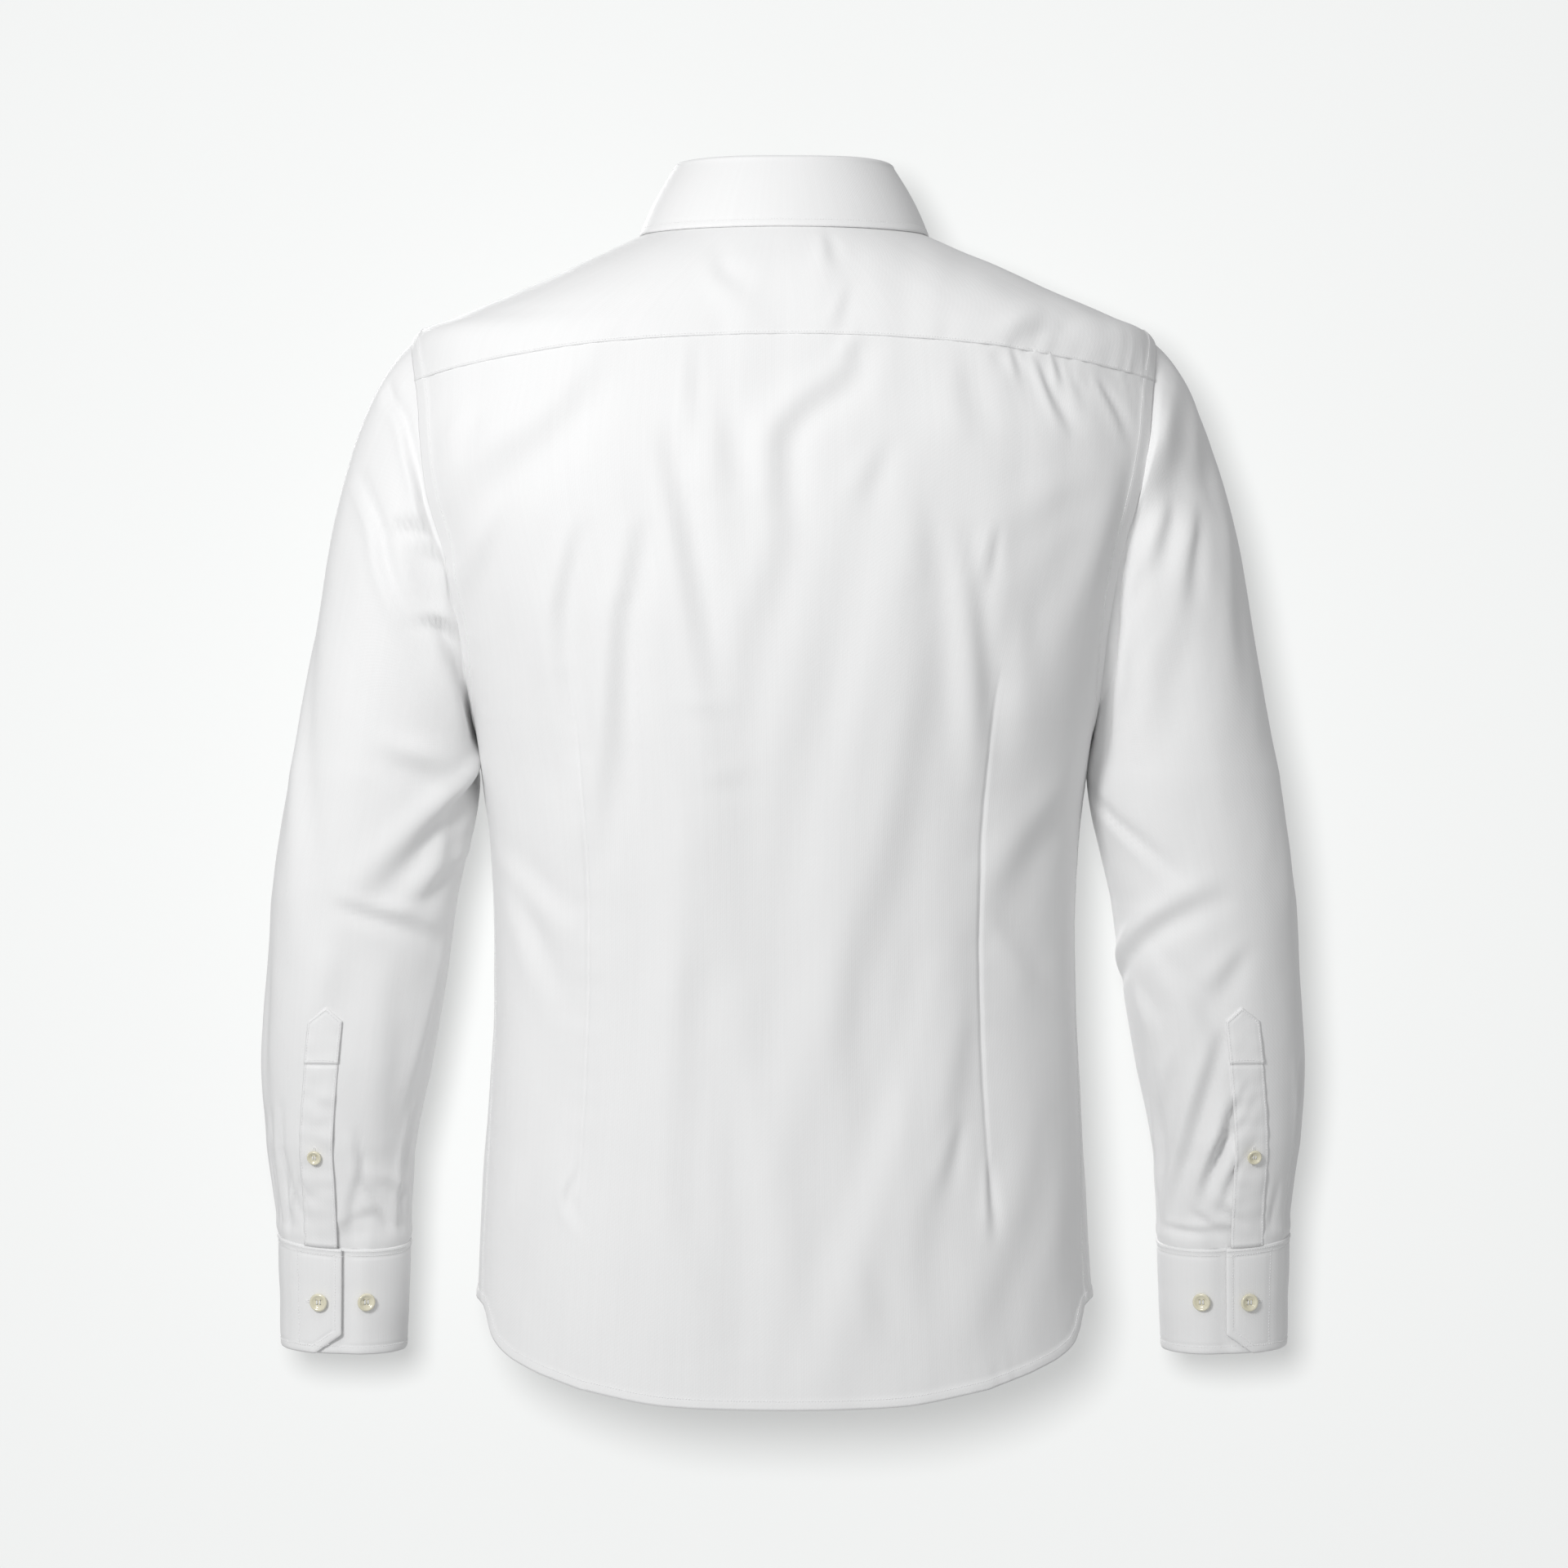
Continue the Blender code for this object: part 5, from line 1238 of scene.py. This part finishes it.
def build_fall():
    opening = math.radians(FALL_OPENING)
    angles = np.linspace(-math.pi / 2 + opening, 1.5 * math.pi - opening, FALL_COLUMNS)
    row = collar_row(angles)
    place = np.abs(angles - math.pi / 2) / (math.pi - opening)
    to_point = np.clip((place - FALL_FREE) / (1 - FALL_FREE), 0.0, 1.0)
    dropped = 1.0 + FALL_DROP * to_point**FALL_DROP_BEND
    level = np.where(to_point > 0, dropped, row.fall_level)
    turn = np.where(to_point > 0, FALL_TURN * to_point**FALL_TURN_BEND, row.fall_turn)
    turn = np.copysign(np.radians(turn), angles - math.pi / 2)
    edge = body(angles - turn, level, FALL_CLEARANCE, relief=False)
    rim = stand_point(angles, 1.0, -SOLID_DOUBLE / 2)
    away = flat_away(rim)
    along = stand_point(angles + 0.05, 1.0) - stand_point(angles - 0.05, 1.0)
    up = unit(np.cross(along, away))
    up *= np.sign(up[:, 2:3])
    fold = rim + away * FALL_FOLD_OUT
    rows = []
    for turned in np.linspace(0.0, math.pi / 2, FALL_FOLD_ROWS):
        over = up * (FALL_OVER + SOLID_DOUBLE) * math.cos(turned)
        rows.append(fold + over + away * FALL_FOLD_OUT * (math.sin(turned) - 1))
    for down in spread(FALL_DEPTH, (1.0,), coarse=FALL_COARSE)[1:]:
        bulge = (away + up * 0.6) * FALL_BULGE * math.sin(math.pi * down)
        rows.append(fold + (edge - fold) * down + bulge)
    points = np.array(rows)
    normals = outward(points, grid_normals(points), COLLAR_CENTRE)
    outline = np.concatenate([points[::-1, 0], points[-1], points[:, -1]])
    _, off = nearest_on(dense(outline), points)
    relief = rim_relief(off, FALL_RIM)
    relief += noise_at(points, (0.05, 0.05, 0.03), 41) * 0.0004
    points = points + normals * relief[..., None]
    cloth = Cloth("collar_fall_cloth", points, COLLAR_CENTRE, DOUBLE_SHELL, crisp=0.7)
    cloth.topstitch("bottom", WIDE_STITCH, 0.03, 0.97)
    cloth.topstitch("start end", WIDE_STITCH, 0.25, 0.95)
    return cloth


# ================================================================= sleeves
def arm_point(turn, z, out=0.0):
    row = rows_at(ARM, "z", z)
    across, along = oval(turn, row.squareness)
    x = row.centre_x + (row.half_width + out) * across
    y = row.centre_y + (row.half_depth + out) * along
    return np.stack(np.broadcast_arrays(x, y, z), -1)


def arm_normal(turn, z):
    along = arm_point(turn + 0.02, z) - arm_point(turn - 0.02, z)
    down = arm_point(turn, z - 0.002) - arm_point(turn, z + 0.002)
    return unit(np.cross(down, along))


def head_points(turns, shares, side):
    """The sleeve head of the left arm, to fit the armhole of this side."""
    place = armhole_place(turns)
    angle = place[0] if side > 0 else math.pi - place[0]
    start = mirror_x(body(angle, place[1], -ARMHOLE_STEP), side)
    end = arm_point(turns, np.full_like(turns, ARM[0].z))
    reach = np.linalg.norm(end - start, axis=-1, keepdims=True)
    top = ((1 + np.cos(turns)) / 2)[:, None]
    slope = math.radians(HEAD_SLOPE) * top**1.5
    pull = reach * (1 + (HEAD_PULL - 1) * top)
    aside = HEAD_ASIDE * np.sin(turns)[:, None]
    leave = np.concatenate([np.sin(slope), aside, -np.cos(slope)], -1) * pull
    arrive = np.concatenate([0.2 * top, 0 * top, -0.98 + 0 * top], -1) * reach
    s = shares[:, None, None]
    return (
        start * (1 + 2 * s) * (1 - s) ** 2
        + leave * s * (1 - s) ** 2
        + end * s * s * (3 - 2 * s)
        - arrive * s * s * (1 - s)
    )


def cuff_edge_z(turn, middle_z, tilt):
    return middle_z + tilt[0] * np.cos(turn) + tilt[1] * np.sin(turn)


def crease_relief(creases, side, turn, z):
    flat = [
        fold._replace(path=tuple((math.radians(t) * ARM_RADIUS / MM, h) for t, h in fold.path))
        for fold in creases
    ]
    ridge_side = (-side * UPPER_LEFT[0], UPPER_LEFT[1])
    return fold_relief(flat, turn * ARM_RADIUS, z, ridge_side, 2 * math.pi * ARM_RADIUS)


def sleeve_centre(z):
    row = rows_at(ARM, "z", np.maximum(z, ARM[-1].z))
    return np.stack(np.broadcast_arrays(row.centre_x, row.centre_y, z), -1)


def placket_turn(across, z):
    row = rows_at(ARM, "z", z)
    return math.radians(SLEEVE_BAND_EDGE_ANGLE) - across / row.half_width


def sleeve_relief(creases, side, turn, z, points):
    """Creases, unevenness and the small gathers above the cuff."""
    relief = crease_relief(creases, side, turn, z) + unevenness(points, SLEEVE_UNEVEN)
    gather = noise_at(beside_line(turn * ARM_RADIUS, z, 0.2), (0.007, 0.02, 0.02), 53)
    near_cuff = 1 - smooth_step(z, CUFF_TOP_Z, CUFF_TOP_Z + 0.028)
    return relief + gather * near_cuff * 0.0009


def placket_open(z, closes_z):
    """1 where the placket is open: below its bar and above where it closes into the cuff."""
    begun = smooth_step(-z, -SLEEVE_BAND_BAR_Z, -SLEEVE_BAND_BAR_Z + PLACKET_OPENS)
    return begun * (1 - smooth_step(-z, -closes_z, -PLACKET_END_Z))


def slit_relief(turn, z):
    """The hollow beside the placket's slit, and the cloth drawn in under the cuff's lap."""
    beside = (turn - placket_turn(-0.002, z)) * ARM_RADIUS
    slit = np.exp(-np.abs(beside) / 0.004) * np.where(beside > -0.004, 1.0, 0.3)
    past_lap = (np.degrees(turn) - CUFF_EDGE_ANGLE + 180) % 360 - 180
    under_lap = smooth_step(past_lap, -34.0, -24.0) * (1 - smooth_step(past_lap, 6.0, 26.0))
    near_cuff = 1 - smooth_step(z, CUFF_TOP_Z + 0.001, CUFF_TOP_Z + 0.014)
    return -0.0009 * slit * placket_open(z, -0.625) - 0.0030 * under_lap * near_cuff


def sleeve_surface(turn, z, creases, side):
    """A point of the left sleeve below its head, creases and all."""
    base = arm_point(turn, z)
    relief = sleeve_relief(creases, side, turn, z, base)
    under = smooth_step(z, CUFF_TOP_Z - 0.001, CUFF_TOP_Z + 0.012)
    return base + arm_normal(turn, z) * (relief * under)[..., None]


def build_sleeve(name, side, creases):
    turns = math.pi + spread(SLEEVE_ROUND, SLEEVE_FINE_AT, coarse=SLEEVE_COARSE) * 2 * math.pi
    head = spread(SLEEVE_HEAD_LENGTH, (0.0,), coarse=SLEEVE_COARSE)
    rows = list(head_points(turns, head, side))
    end = cuff_edge_z(turns, CUFF_TOP_Z, CUFF_TOP_TILT)
    for share in spread(SLEEVE_ARM_LENGTH, (1.0,), fine=0.0016, coarse=SLEEVE_COARSE)[1:]:
        rows.append(arm_point(turns, ARM[0].z + (end - ARM[0].z) * share))
    base = np.array(rows)
    base[:, -1] = base[:, 0]
    z = base[..., 2]
    turn = np.broadcast_to(turns, z.shape)
    centre = sleeve_centre(z)
    normals = grid_normals(base, closed=True)
    normals[:, -1] = normals[:, 0]
    normals = outward(base, normals, centre)
    relief = sleeve_relief(creases, side, turn, z, base)
    relief *= smooth_step(z, CUFF_TOP_Z - 0.004, CUFF_TOP_Z + 0.010)
    relief += 0.0009 * bell(z - end - 0.0055, 0.0050)  # the cloth swells above the cuff
    relief[: len(head)] *= smooth_step(head, 0.0, 0.05)[:, None]
    along, off = nearest_on(dense(base[0]), base)
    relief += noise_at(beside_line(along, off, 0.2), 0.010, 55) * np.exp(-off / 0.010) * 0.0007
    relief += slit_relief(turn, z)
    relief[:, -1] = relief[:, 0]
    points = base + normals * relief[..., None]
    full = outward(points, grid_normals(points, closed=True), centre)
    points = tucked(points, full, "top", reach=0.003, depth=0.0006)
    centre = np.concatenate([centre[:1], centre])
    full = outward(points, grid_normals(points, closed=True), centre)
    points = tucked(points, full, "bottom", reach=0.005, depth=0.0014)
    points[:, -1] = points[:, 0]
    centre = mirror_x(np.concatenate([centre, centre[-1:]]), side)
    return Cloth(name + "_cloth", mirror_x(points, side), centre, closed=True)


def build_cuff(name, side):
    edge = math.radians(CUFF_EDGE_ANGLE)
    start, end = edge - math.radians(CUFF_LAP_ANGLE), edge + 2 * math.pi
    turns = start + (end - start) * spread(CUFF_ROUND, (0.0, 1.0), fine=0.0010, coarse=0.0026)
    past = np.degrees(turns) - CUFF_EDGE_ANGLE
    dip = (SOLID_DOUBLE + GAP) * (1 - smooth_step(past, -4.0, 22.0))
    cut = np.maximum(1 - (end - turns) / math.radians(CUFF_CORNER_ANGLE), 0.0)
    rise = CUFF_CORNER_RISE / (CUFF_TOP_Z - CUFF_BOTTOM_Z) * cut
    top = cuff_edge_z(turns, CUFF_TOP_Z, CUFF_TOP_TILT)
    bottom = cuff_edge_z(turns, CUFF_BOTTOM_Z, CUFF_BOTTOM_TILT)
    rows = []
    for share in spread(CUFF_DEPTH, (0.0, 1.0), fine=0.0009, coarse=0.0026, reach=0.008):
        z = top + (bottom - top) * share * (1 - rise)
        rows.append(arm_point(turns, z, CUFF_OUT - dip))
    base = np.array(rows)
    centre = sleeve_centre(base[..., 2])
    normals = outward(base, grid_normals(base), centre)
    outline = np.concatenate([base[::-1, 0], base[0], base[:, -1], base[-1, ::-1]])
    along, off = nearest_on(dense(outline), base)
    _, from_top = nearest_on(dense(base[0]), base)
    _, from_lap = nearest_on(dense(base[:, -1]), base)
    relief = rim_relief(off, CUFF_RIM)
    relief += 0.0007 * bell(from_top - 0.0008, 0.0012)  # a full upper edge
    ripple = noise_at(beside_line(along, off, 1.0), (0.008, 0.02, 0.02), 61)
    relief += ripple * np.exp(-off / 0.004) * 0.00025
    relief += noise_at(base, (0.03, 0.03, 0.02), 62) * 0.0005
    over = smooth_step(turns, math.pi, 2 * math.pi)
    relief += 0.0006 * bell(from_lap, 0.009) * over  # the lap stands off a little
    relief -= 0.0006 * bell((turns - edge) * ARM_RADIUS * 0.75, 0.006) * (1 - over)
    points = mirror_x(base + normals * relief[..., None], side)
    cloth = Cloth(name + "_cloth", points, mirror_x(centre, side), DOUBLE_SHELL, crisp=0.6)
    cloth.topstitch("top bottom", WIDE_STITCH, 0.02, 0.98)
    cloth.topstitch("start end", WIDE_STITCH, 0.08, 0.92)
    cloth.topstitch("top", CUFF_EDGE_STITCH)
    return cloth


def build_sleeve_band(name, side, creases):
    bar = SLEEVE_BAND_BAR_SHARE
    shares = spread(SLEEVE_BAND_LENGTH, (0.0, bar), fine=0.0008, coarse=0.0028)[:, None]
    columns = np.linspace(0.0, 1.0, SLEEVE_BAND_COLUMNS)
    across = columns * SLEEVE_BAND_WIDTH
    top = SLEEVE_BAND_TOP_Z - SLEEVE_BAND_POINT * np.abs(2 * columns - 1)
    bottom = cuff_edge_z(placket_turn(across, top), CUFF_TOP_Z, CUFF_TOP_TILT) + GAP
    z = top + (SLEEVE_BAND_BAR_Z - top) * np.minimum(shares / bar, 1.0)
    z = z + (bottom - SLEEVE_BAND_BAR_Z) * (np.maximum(shares - bar, 0.0) / (1 - bar))
    turn = placket_turn(across, z)
    base, normals = arm_point(turn, z), arm_normal(turn, z)
    creased = ((sleeve_surface(turn, z, creases, side) - base) * normals).sum(-1)
    relief = creased * SLEEVE_BAND_FOLLOW + SLEEVE_BAND_OUT
    below_bar = placket_open(z, -0.615)
    relief += 0.0010 * np.exp(-across / 0.006) * below_bar  # its open edge stands off
    outline = np.concatenate([base[::-1, 0], base[0], base[:, -1]])
    _, off = nearest_on(dense(outline), base)
    relief += rim_relief(off, SLEEVE_BAND_RIM)
    from_bar = z - SLEEVE_BAND_BAR_Z
    step = smooth_step(from_bar, -0.0006, 0.0012) * np.exp(-np.maximum(from_bar, 0.0) / 0.014)
    relief += 0.0012 * step - 0.0007 * bell(from_bar + 0.0008, 0.0010)
    relief += noise_at(base, (0.012, 0.012, 0.009), 71) * (0.0004 + 0.0007 * below_bar)
    points = mirror_x(base + normals * relief[..., None], side)
    centre = mirror_x(sleeve_centre(z), side)
    cloth = Cloth(name + "_cloth", points, centre, DOUBLE_SHELL, crisp=0.5)
    cloth.topstitch("top", EDGE_STITCH)
    cloth.topstitch("start end", EDGE_STITCH, 0.03, 1.0)
    row = np.abs(from_bar[:, SLEEVE_BAND_COLUMNS // 2] - 0.0030).argmin()
    cloth.stitch(points[row, 3:-3])
    return cloth


# ================================================================= buttons and buttonholes
HOLE_OFFSET = 0.0014  # from the button's middle
DIAGONAL = 1.4142
HOLE_RADIUS = 0.00062
BUTTON_DISH = 0.60  # share of the thickness at the holes' edge
LARGE_HOLE = 0.014  # length of a buttonhole
SMALL_HOLE = 0.012
SATIN_ASIDE = 0.00062
SATIN_STITCH = (0.0010, 0.00040)  # length and width
BAR_STITCH = (0.0012, 0.00045)
BAR_PITCH = 0.00035
THREAD_WIDTH = 0.0005


def button_mesh(name, radius):
    """A four-hole button: a soft raised rim round a shallow dish, its underside at z = 0."""
    t = BUTTON_THICKNESS
    profile = (
        (0.0, 0.52 * t),
        (0.34 * radius, 0.53 * t),
        (0.56 * radius, BUTTON_DISH * t),
        (0.68 * radius, 0.84 * t),
        (0.78 * radius, 0.98 * t),
        (0.86 * radius, t),
        (0.94 * radius, 0.90 * t),
        (radius, 0.66 * t),
        (0.985 * radius, 0.44 * t),
        (0.90 * radius, 0.16 * t),
        (0.78 * radius, 0.0),
        (0.0, 0.0),
    )
    bm = bmesh.new()
    line = [bm.verts.new((x, 0.0, z)) for x, z in profile]
    edges = [bm.edges.new(pair) for pair in zip(line, line[1:])]
    bmesh.ops.spin(
        bm, geom=line + edges, cent=(0, 0, 0), axis=(0, 0, 1), dvec=(0, 0, 0),
        angle=2 * math.pi, steps=40, use_merge=True, use_duplicate=False,
    )
    bmesh.ops.remove_doubles(bm, verts=bm.verts, dist=1e-6)
    bmesh.ops.recalc_face_normals(bm, faces=bm.faces)
    mesh = bpy.data.meshes.new(name)
    bm.to_mesh(mesh)
    bm.free()
    return mesh


def hole_mesh(scale):
    """Four cutters, through all the button."""
    bm = bmesh.new()
    for x in (-1, 1):
        for y in (-1, 1):
            made = bmesh.ops.create_cone(
                bm, cap_ends=True, segments=12, radius1=HOLE_RADIUS * scale,
                radius2=HOLE_RADIUS * scale, depth=BUTTON_THICKNESS * 3,
            )
            place = Vector((x, y, 0)) * HOLE_OFFSET * scale / DIAGONAL
            bmesh.ops.translate(bm, verts=made["verts"], vec=place)
    mesh = bpy.data.meshes.new("holes")
    bm.to_mesh(mesh)
    bm.free()
    return mesh


def drilled(name, radius):
    """The button's mesh with its four holes cut."""
    scale = radius / BUTTON_RADIUS
    button = bpy.data.objects.new(name, button_mesh(name, radius))
    cutter = bpy.data.objects.new("cutter", hole_mesh(scale))
    for obj in (button, cutter):
        bpy.context.scene.collection.objects.link(obj)
    cut = button.modifiers.new("holes", "BOOLEAN")
    cut.object = cutter
    cut.solver = "EXACT"
    bpy.context.view_layer.update()
    graph = bpy.context.evaluated_depsgraph_get()
    made = bpy.data.meshes.new_from_object(button.evaluated_get(graph))
    for obj in (button, cutter):
        bpy.data.objects.remove(obj)
    made.shade_smooth()
    return made


def add_button(node, cloth, mesh, outwards, radius):
    """A button at its node's place, seated on its cloth, with its thread through the holes."""
    seat, _, _, _ = cloth.tree.find_nearest(frame_centre(node))
    outwards = Vector(outwards).normalized()
    obj = bpy.data.objects.new(node + "_pearl", mesh.copy())
    obj.rotation_mode = "QUATERNION"
    turn = outwards.to_track_quat("Z", "Y")
    obj.location = seat + outwards * BUTTON_SHANK
    obj.rotation_quaternion = turn
    bpy.context.scene.collection.objects.link(obj)
    obj.data.materials.append(pearl_material(node))
    bpy.context.view_layer.update()
    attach(obj, "root")
    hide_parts(node)
    half = HOLE_OFFSET * radius / BUTTON_RADIUS / DIAGONAL
    along = turn @ Vector((0, 1, 0))
    length = 2 * half + 2.2 * HOLE_RADIUS
    stitches = []
    for strand in (-0.32, 0.0, 0.32):
        for row in (-half, half):
            aside = Vector((row + strand * HOLE_RADIUS, 0, BUTTON_DISH * BUTTON_THICKNESS))
            stitches.append((obj.location + turn @ aside, outwards, along, length, THREAD_WIDTH))
    thread = bpy.data.objects.new(node + "_thread", stitch_mesh(node, stitches))
    keep(thread, thread_material(node + "_thread"))


def buttonhole(cloth, place, along, length):
    """Close satin stitches down both sides of a slit, and a bar at each end."""
    along = Vector(along).normalized()
    seat, normal = cloth.face_at(Vector(place))
    across = normal.cross(along).normalized()

    def sew(place, direction, size):
        spot = cloth.tree.find_nearest(place)[0]
        cloth.stitches.append((spot, normal, direction, *size))

    count = int(length / SATIN_PITCH)
    for step in range(count + 1):
        middle = seat + along * (step / count - 0.5) * length
        for side in (-1, 1):
            sew(middle + across * side * SATIN_ASIDE, across, SATIN_STITCH)
    for end in (-1, 1):
        middle = seat + along * end * (length / 2 + 0.0002)
        for side in range(-2, 3):
            sew(middle + across * side * BAR_PITCH, along, BAR_STITCH)


# ================================================================= the shirt
def frame_centre(node):
    low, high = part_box(node)
    return (low + high) / 2


def build_shirt():
    """Every piece of cloth, and the buttons."""
    cloths = {"back": build_back(), "yoke": build_yoke()}
    cloths["front_left"] = build_front("front_left", 1)
    cloths["front_right"] = build_front("front_right", -1)
    cloths["front_band"] = build_front_band()
    cloths["collar_stand"] = build_stand()
    cloths["collar_fall"] = build_fall()
    for name, side, creases in (("left", 1, LEFT_CREASES), ("right", -1, RIGHT_CREASES)):
        cloths["sleeve_" + name] = build_sleeve("sleeve_" + name, side, creases)
        cloths["sleeve_band_" + name] = build_sleeve_band("sleeve_band_" + name, side, creases)
        cloths["cuff_" + name] = build_cuff("cuff_" + name, side)
    for node, cloth in cloths.items():
        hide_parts(node)
    build_buttons(cloths)
    for node, cloth in cloths.items():
        declare(cloth)


def build_buttons(cloths):
    large = drilled("button_large", BUTTON_RADIUS)
    small = drilled("button_small", SMALL_BUTTON_RADIUS)
    for node in NODE_NAMES:
        centre = frame_centre(node)
        if node.startswith("front_button"):
            level = level_at_z(-math.pi / 2, centre.z)[0]
            outwards = body_normal(-math.pi / 2, level)
            add_button(node, cloths["front_band"], large, outwards, BUTTON_RADIUS)
            buttonhole(cloths["front_band"], centre, (0, 0, 1), LARGE_HOLE)
        elif node == "collar_button":
            add_button(node, cloths["collar_stand"], large, (0.0, -1.0, 0.0), BUTTON_RADIUS)
            buttonhole(cloths["collar_stand"], centre, (1, 0, 0), LARGE_HOLE)
        elif "button" in node:
            add_wrist_button(node, cloths, centre, large, small)


def add_wrist_button(node, cloths, centre, large, small):
    hand = "left" if "left" in node else "right"
    side = 1 if hand == "left" else -1
    row = rows_at(ARM, "z", centre.z)
    across = (centre.x * side - row.centre_x) / row.half_width
    turn = np.arctan2((centre.y - row.centre_y) / row.half_depth, across)
    outwards = mirror_x(arm_normal(turn, np.array(centre.z)), side)
    if node.startswith("sleeve_button"):
        band = cloths["sleeve_band_" + hand]
        add_button(node, band, small, outwards, SMALL_BUTTON_RADIUS)
        buttonhole(band, centre, (0, 0, 1), SMALL_HOLE)
        return
    cuff = cloths["cuff_" + hand]
    add_button(node, cuff, large, outwards, BUTTON_RADIUS)
    if node.endswith("_1"):
        buttonhole(cuff, centre + Vector((0.002 * side, 0, 0)), (1, 0, 0), 0.0145)


def declare(cloth):
    """Makes one object of the stitches on a piece of cloth."""
    sewn = cloth.sew()


# ================================================================= stage, lights and camera
WALL_Y = -0.150
FLOOR_Z = -1.10
PALE = (0.915, 0.925, 0.918)
WALL_GLOW = 0.49  # shares of the wall's paleness: its own, and what it takes from the lights
WALL_TAKES = 0.30
KEY_POWER = 26.9
TOP_POWER = 2.4
WALL_LIGHT_POWER = 88.0
FRONT_POWER = 34.0
FLOOR_GLOW = 0.84
FLOOR_TAKES = 0.10
AMBIENT = 0.41


def plane(name, corners):
    mesh = bpy.data.meshes.new(name)
    mesh.from_pydata(corners, [], [tuple(range(len(corners)))])
    obj = bpy.data.objects.new(name, mesh)
    bpy.context.scene.collection.objects.link(obj)
    return obj


def build_floor():
    reach = 12.0
    corners = [(-reach, -reach), (reach, -reach), (reach, reach), (-reach, reach)]
    floor = plane("floor", [(x, y, FLOOR_Z) for x, y in corners])
    made, _, _, shader = shaded("floor", [c * FLOOR_TAKES for c in PALE], 0.9, 0.1)
    shader.inputs["Emission Color"].default_value = (*PALE, 1.0)
    shader.inputs["Emission Strength"].default_value = FLOOR_GLOW
    floor.data.materials.append(made)
    floor.visible_diffuse = False


def build_wall():
    """A pale wall close past the shirt's front, the far side for the camera, for its shadow.

    It is clear from its own far side, and takes no part in the shirt's light.
    """
    reach = 12.0
    corners = [(reach, FLOOR_Z), (-reach, FLOOR_Z), (-reach, reach), (reach, reach)]
    wall = plane("wall", [(x, WALL_Y, z) for x, z in corners])
    made, nodes, links, shader = shaded("wall", [c * WALL_TAKES for c in PALE], 0.9, 0.0)
    shader.inputs["Emission Color"].default_value = (*PALE, 1.0)
    shader.inputs["Emission Strength"].default_value = WALL_GLOW
    mix = nodes.new("ShaderNodeMixShader")
    clear = nodes.new("ShaderNodeBsdfTransparent")
    facing = nodes.new("ShaderNodeNewGeometry")
    links.new(facing.outputs["Backfacing"], mix.inputs["Fac"])
    links.new(shader.outputs["BSDF"], mix.inputs[1])
    links.new(clear.outputs["BSDF"], mix.inputs[2])
    links.new(mix.outputs["Shader"], nodes["Material Output"].inputs["Surface"])
    wall.data.materials.append(made)
    wall.visible_diffuse = False
    wall.visible_glossy = False
    wall.visible_transmission = False
    wall.visible_shadow = False
    return wall


def area_light(name, place, target, size, power):
    light = bpy.data.lights.new(name, "AREA")
    light.shape = "DISK"
    light.size = size
    light.energy = power
    obj = bpy.data.objects.new(name, light)
    obj.location = place
    obj.rotation_mode = "QUATERNION"
    obj.rotation_quaternion = (Vector(target) - Vector(place)).to_track_quat("-Z", "Y")
    obj.visible_camera = False
    bpy.context.scene.collection.objects.link(obj)
    return obj


def light_only(light, objects, others):
    """This light reaches only these objects, or all but these."""
    lit = bpy.data.collections.new(light.name + "_reach")
    for obj in objects or others:
        lit.objects.link(obj)
    light.light_linking.receiver_collection = lit
    if others:
        for link in lit.collection_objects:
            link.light_linking.link_state = "EXCLUDE"


def build_world():
    world = bpy.data.worlds.new("studio")
    bpy.context.scene.world = world
    world.use_nodes = True
    nodes, links = world.node_tree.nodes, world.node_tree.links
    seen = nodes.new("ShaderNodeBackground")
    seen.inputs["Color"].default_value = (*PALE, 1.0)
    light = nodes["Background"]
    light.inputs["Color"].default_value = (0.99, 0.995, 1.0, 1.0)
    light.inputs["Strength"].default_value = AMBIENT
    path = nodes.new("ShaderNodeLightPath")
    mix = nodes.new("ShaderNodeMixShader")
    links.new(path.outputs["Is Camera Ray"], mix.inputs["Fac"])
    links.new(light.outputs["Background"], mix.inputs[1])
    links.new(seen.outputs["Background"], mix.inputs[2])
    links.new(mix.outputs["Shader"], nodes["World Output"].inputs["Surface"])


def build_lights(wall):
    middle = (0.0, 0.0, -0.35)
    key = area_light("key", (1.02, 1.92, 0.42), middle, 0.60, KEY_POWER)
    top = area_light("top", (0.15, 1.00, 0.95), middle, 0.60, TOP_POWER)
    near_camera = area_light("wall_light", (0.18, 2.40, -0.16), middle, 0.44, WALL_LIGHT_POWER)
    front = area_light("front", (0.85, -2.5, 0.55), middle, 0.8, FRONT_POWER)
    light_only(key, None, [wall])
    light_only(top, None, [wall])
    light_only(front, None, [wall])
    light_only(near_camera, [wall], None)


def build_camera():
    data = bpy.data.cameras.new("camera")
    data.sensor_width = SENSOR
    data.lens = SENSOR * CAMERA_DISTANCE / (PHOTO_SIDE * PHOTO_SCALE)
    camera = bpy.data.objects.new("camera", data)
    camera.location = (0.0, CAMERA_DISTANCE, CAMERA_Z)
    camera.rotation_euler = (math.pi / 2, 0.0, math.pi)
    bpy.context.scene.collection.objects.link(camera)
    bpy.context.scene.camera = camera


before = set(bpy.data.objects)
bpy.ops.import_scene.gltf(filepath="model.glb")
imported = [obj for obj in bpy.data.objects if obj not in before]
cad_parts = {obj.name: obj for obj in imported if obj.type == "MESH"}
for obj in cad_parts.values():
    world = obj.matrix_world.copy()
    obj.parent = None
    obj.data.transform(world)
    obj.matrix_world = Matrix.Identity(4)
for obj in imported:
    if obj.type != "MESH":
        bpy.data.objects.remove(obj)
NODE_NAMES = sorted(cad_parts)
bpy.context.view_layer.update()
bpy.context.scene.view_settings.view_transform = "Standard"
build_camera()
build_world()
build_floor()
build_lights(build_wall())
build_shirt()
